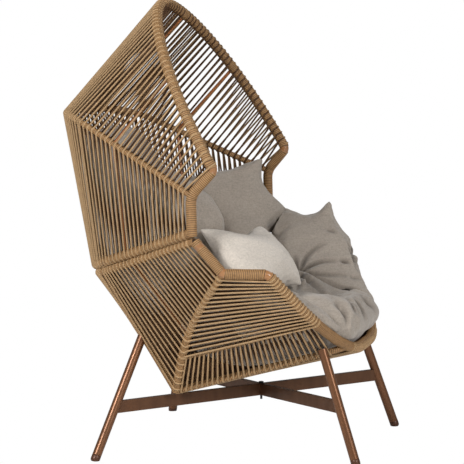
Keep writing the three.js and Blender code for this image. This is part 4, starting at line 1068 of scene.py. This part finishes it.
def soft_piece(node, material, body, voxel, cap, salt, shape, press, tips):
    """A stuffed piece from its plain solid: rounded, swollen as cloth, drawn to its corners, then creased.

    The remesh's voxel and the most that the cloth swells, cap, are in metres.
    """
    obj = new_object(node + "_linen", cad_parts[node].data.copy())
    only(obj)
    bpy.ops.object.mode_set(mode="EDIT")
    bpy.ops.mesh.select_all(action="SELECT")
    bpy.ops.mesh.remove_doubles(threshold=0.00002)
    bpy.ops.object.mode_set(mode="OBJECT")
    remesh = obj.modifiers.new("even", "REMESH")
    remesh.mode = "VOXEL"
    remesh.voxel_size = voxel
    bpy.ops.object.modifier_apply(modifier=remesh.name)
    eased(obj, EASE_ROUNDS)
    rest = read(obj.data.vertices, "co")
    cloth = obj.modifiers.new("cloth", "CLOTH")
    cloth.settings.quality = 4
    cloth.settings.mass = 0.3
    cloth.settings.use_pressure = True
    cloth.settings.uniform_pressure_force = 4
    cloth.settings.effector_weights.gravity = 0
    cloth.settings.shrink_min = -0.06
    cloth.collision_settings.use_collision = False
    for number in range(1, CLOTH_FRAMES + 1):
        bpy.context.scene.frame_set(number)
    only(obj)
    bpy.ops.object.modifier_apply(modifier=cloth.name)
    bpy.context.scene.frame_set(1)
    move = read(obj.data.vertices, "co") - rest
    far = np.maximum(np.linalg.norm(move, axis=1), 1e-9)
    obj.data.vertices.foreach_set("co", (rest + move * np.minimum(1, cap / far)[:, None]).ravel())
    refine = obj.modifiers.new("refine", "SUBSURF")
    refine.levels = refine.render_levels = 1
    bpy.ops.object.modifier_apply(modifier=refine.name)
    points = drawn_out(read(obj.data.vertices, "co"), tips)
    if press:
        points = press(points)
    obj.data.vertices.foreach_set("co", points.ravel())
    obj.data.update()
    normals = read(obj.data.vertices, "normal")
    move, dark = shape(points, normals) if shape else (0, np.zeros(len(points)))
    # The attribute holds the painted shade of the creases and the tuft's dimple
    obj.data.attributes.new("fold_shade", "FLOAT", "POINT").data.foreach_set("value", dark)
    move = move + slack(points, salt)
    obj.data.vertices.foreach_set("co", (points + normals * move[:, None]).ravel())
    obj.data.update()
    held_in(obj, node)
    bpy.ops.object.shade_smooth()
    finish_piece(obj, body, [material], [node])


# Each pad: the phase of its unevenness, its voxel (m), its creases, its last shaping, and what it is drawn
# out to: the places (mm) and the reach of each pull (m)
PADS = {
    "seat": (0.4, 0.008, tufted, sat_in, ()),
    "back": (1.3, 0.011, None, None, ()),
    "side_left": (2.1, 0.007, tufted, spread, (
        (424, -168, 764, 0.06), (432, -8, 737, 0.08), (374, 17, 705, 0.06), (354, 44, 668, 0.07))),
    "side_right": (3.2, 0.008, tufted, None, ((-424, -168, 628, 0.05),)),
    "wing_left": (4.4, 0.007, None, tucked, (
        (424, 74, 912, 0.06), (432, -8, 737, 0.06), (376, 18, 712, 0.06), (354, 42, 680, 0.06), (330, 328, 848, 0.06))),
    "wing_right": (5.1, 0.008, None, leaned, ((-414, 60, 874, 0.05), (-300, 275, 957, 0.05))),
}
PILLOW_TIPS = (
    (-402, 66, 752, 0.09), (4, -32, 725, 0.09), (-112, -190, 542, 0.09), (-430, -120, 545, 0.09),
    (-414, -12, 632, 0.12),
)


class POD_OT_cushions(bpy.types.Operator):
    """The six petals of the cushion"""
    bl_idname = "pod_chair.cushions"
    bl_label = "Cushion petals"

    def execute(self, context):
        cloth = linen("cushion linen", tuple(colours().cushion), 0.24, 1500.0)
        for name, (salt, voxel, shape, press, tips) in PADS.items():
            soft_piece(f"cushion_{name}", cloth, "cushion", voxel, 0.008, salt, shape, press, tips)
        return {"FINISHED"}


class POD_OT_pillow(bpy.types.Operator):
    """The throw pillow"""
    bl_idname = "pod_chair.pillow"
    bl_label = "Throw pillow"

    def execute(self, context):
        cloth = linen("pillow linen", tuple(colours().pillow), 0.20, 1300.0)
        soft_piece("throw_pillow", cloth, "pillow", 0.006, 0.006, 6.2, None, slumped, PILLOW_TIPS)
        return {"FINISHED"}


class POD_PT_panel(bpy.types.Panel):
    """The chair's pieces, sizes and colours"""
    bl_idname = "POD_PT_panel"
    bl_label = "Pod chair"
    bl_space_type = "VIEW_3D"
    bl_region_type = "UI"
    bl_category = "Pod chair"

    def draw(self, context):
        for operator in STEPS:
            self.layout.operator(operator.bl_idname)
        for group in (context.scene.pod_chair_sizes, context.scene.pod_chair_colours):
            box = self.layout.box()
            for key in group.bl_rna.properties.keys():
                if key not in ("rna_type", "name"):
                    box.prop(group, key)


STEPS = (POD_OT_stage, POD_OT_tubes, POD_OT_cords, POD_OT_metal, POD_OT_cushions, POD_OT_pillow)
CLASSES = (PodChairSizes, PodChairColours, *STEPS, POD_PT_panel)


def register():
    for cls in CLASSES:
        bpy.utils.register_class(cls)
    bpy.types.Scene.pod_chair_sizes = PointerProperty(type=PodChairSizes)
    bpy.types.Scene.pod_chair_colours = PointerProperty(type=PodChairColours)


def unregister():
    del bpy.types.Scene.pod_chair_colours
    del bpy.types.Scene.pod_chair_sizes
    for cls in reversed(CLASSES):
        bpy.utils.unregister_class(cls)


def main():
    register()
    clear_selection()
    bpy.ops.pod_chair.stage()
    bpy.ops.pod_chair.tubes()
    bpy.ops.pod_chair.cords()
    bpy.ops.pod_chair.metal()
    bpy.ops.pod_chair.cushions()
    bpy.ops.pod_chair.pillow()
    clear_selection()


if __name__ == "__main__":
    main()
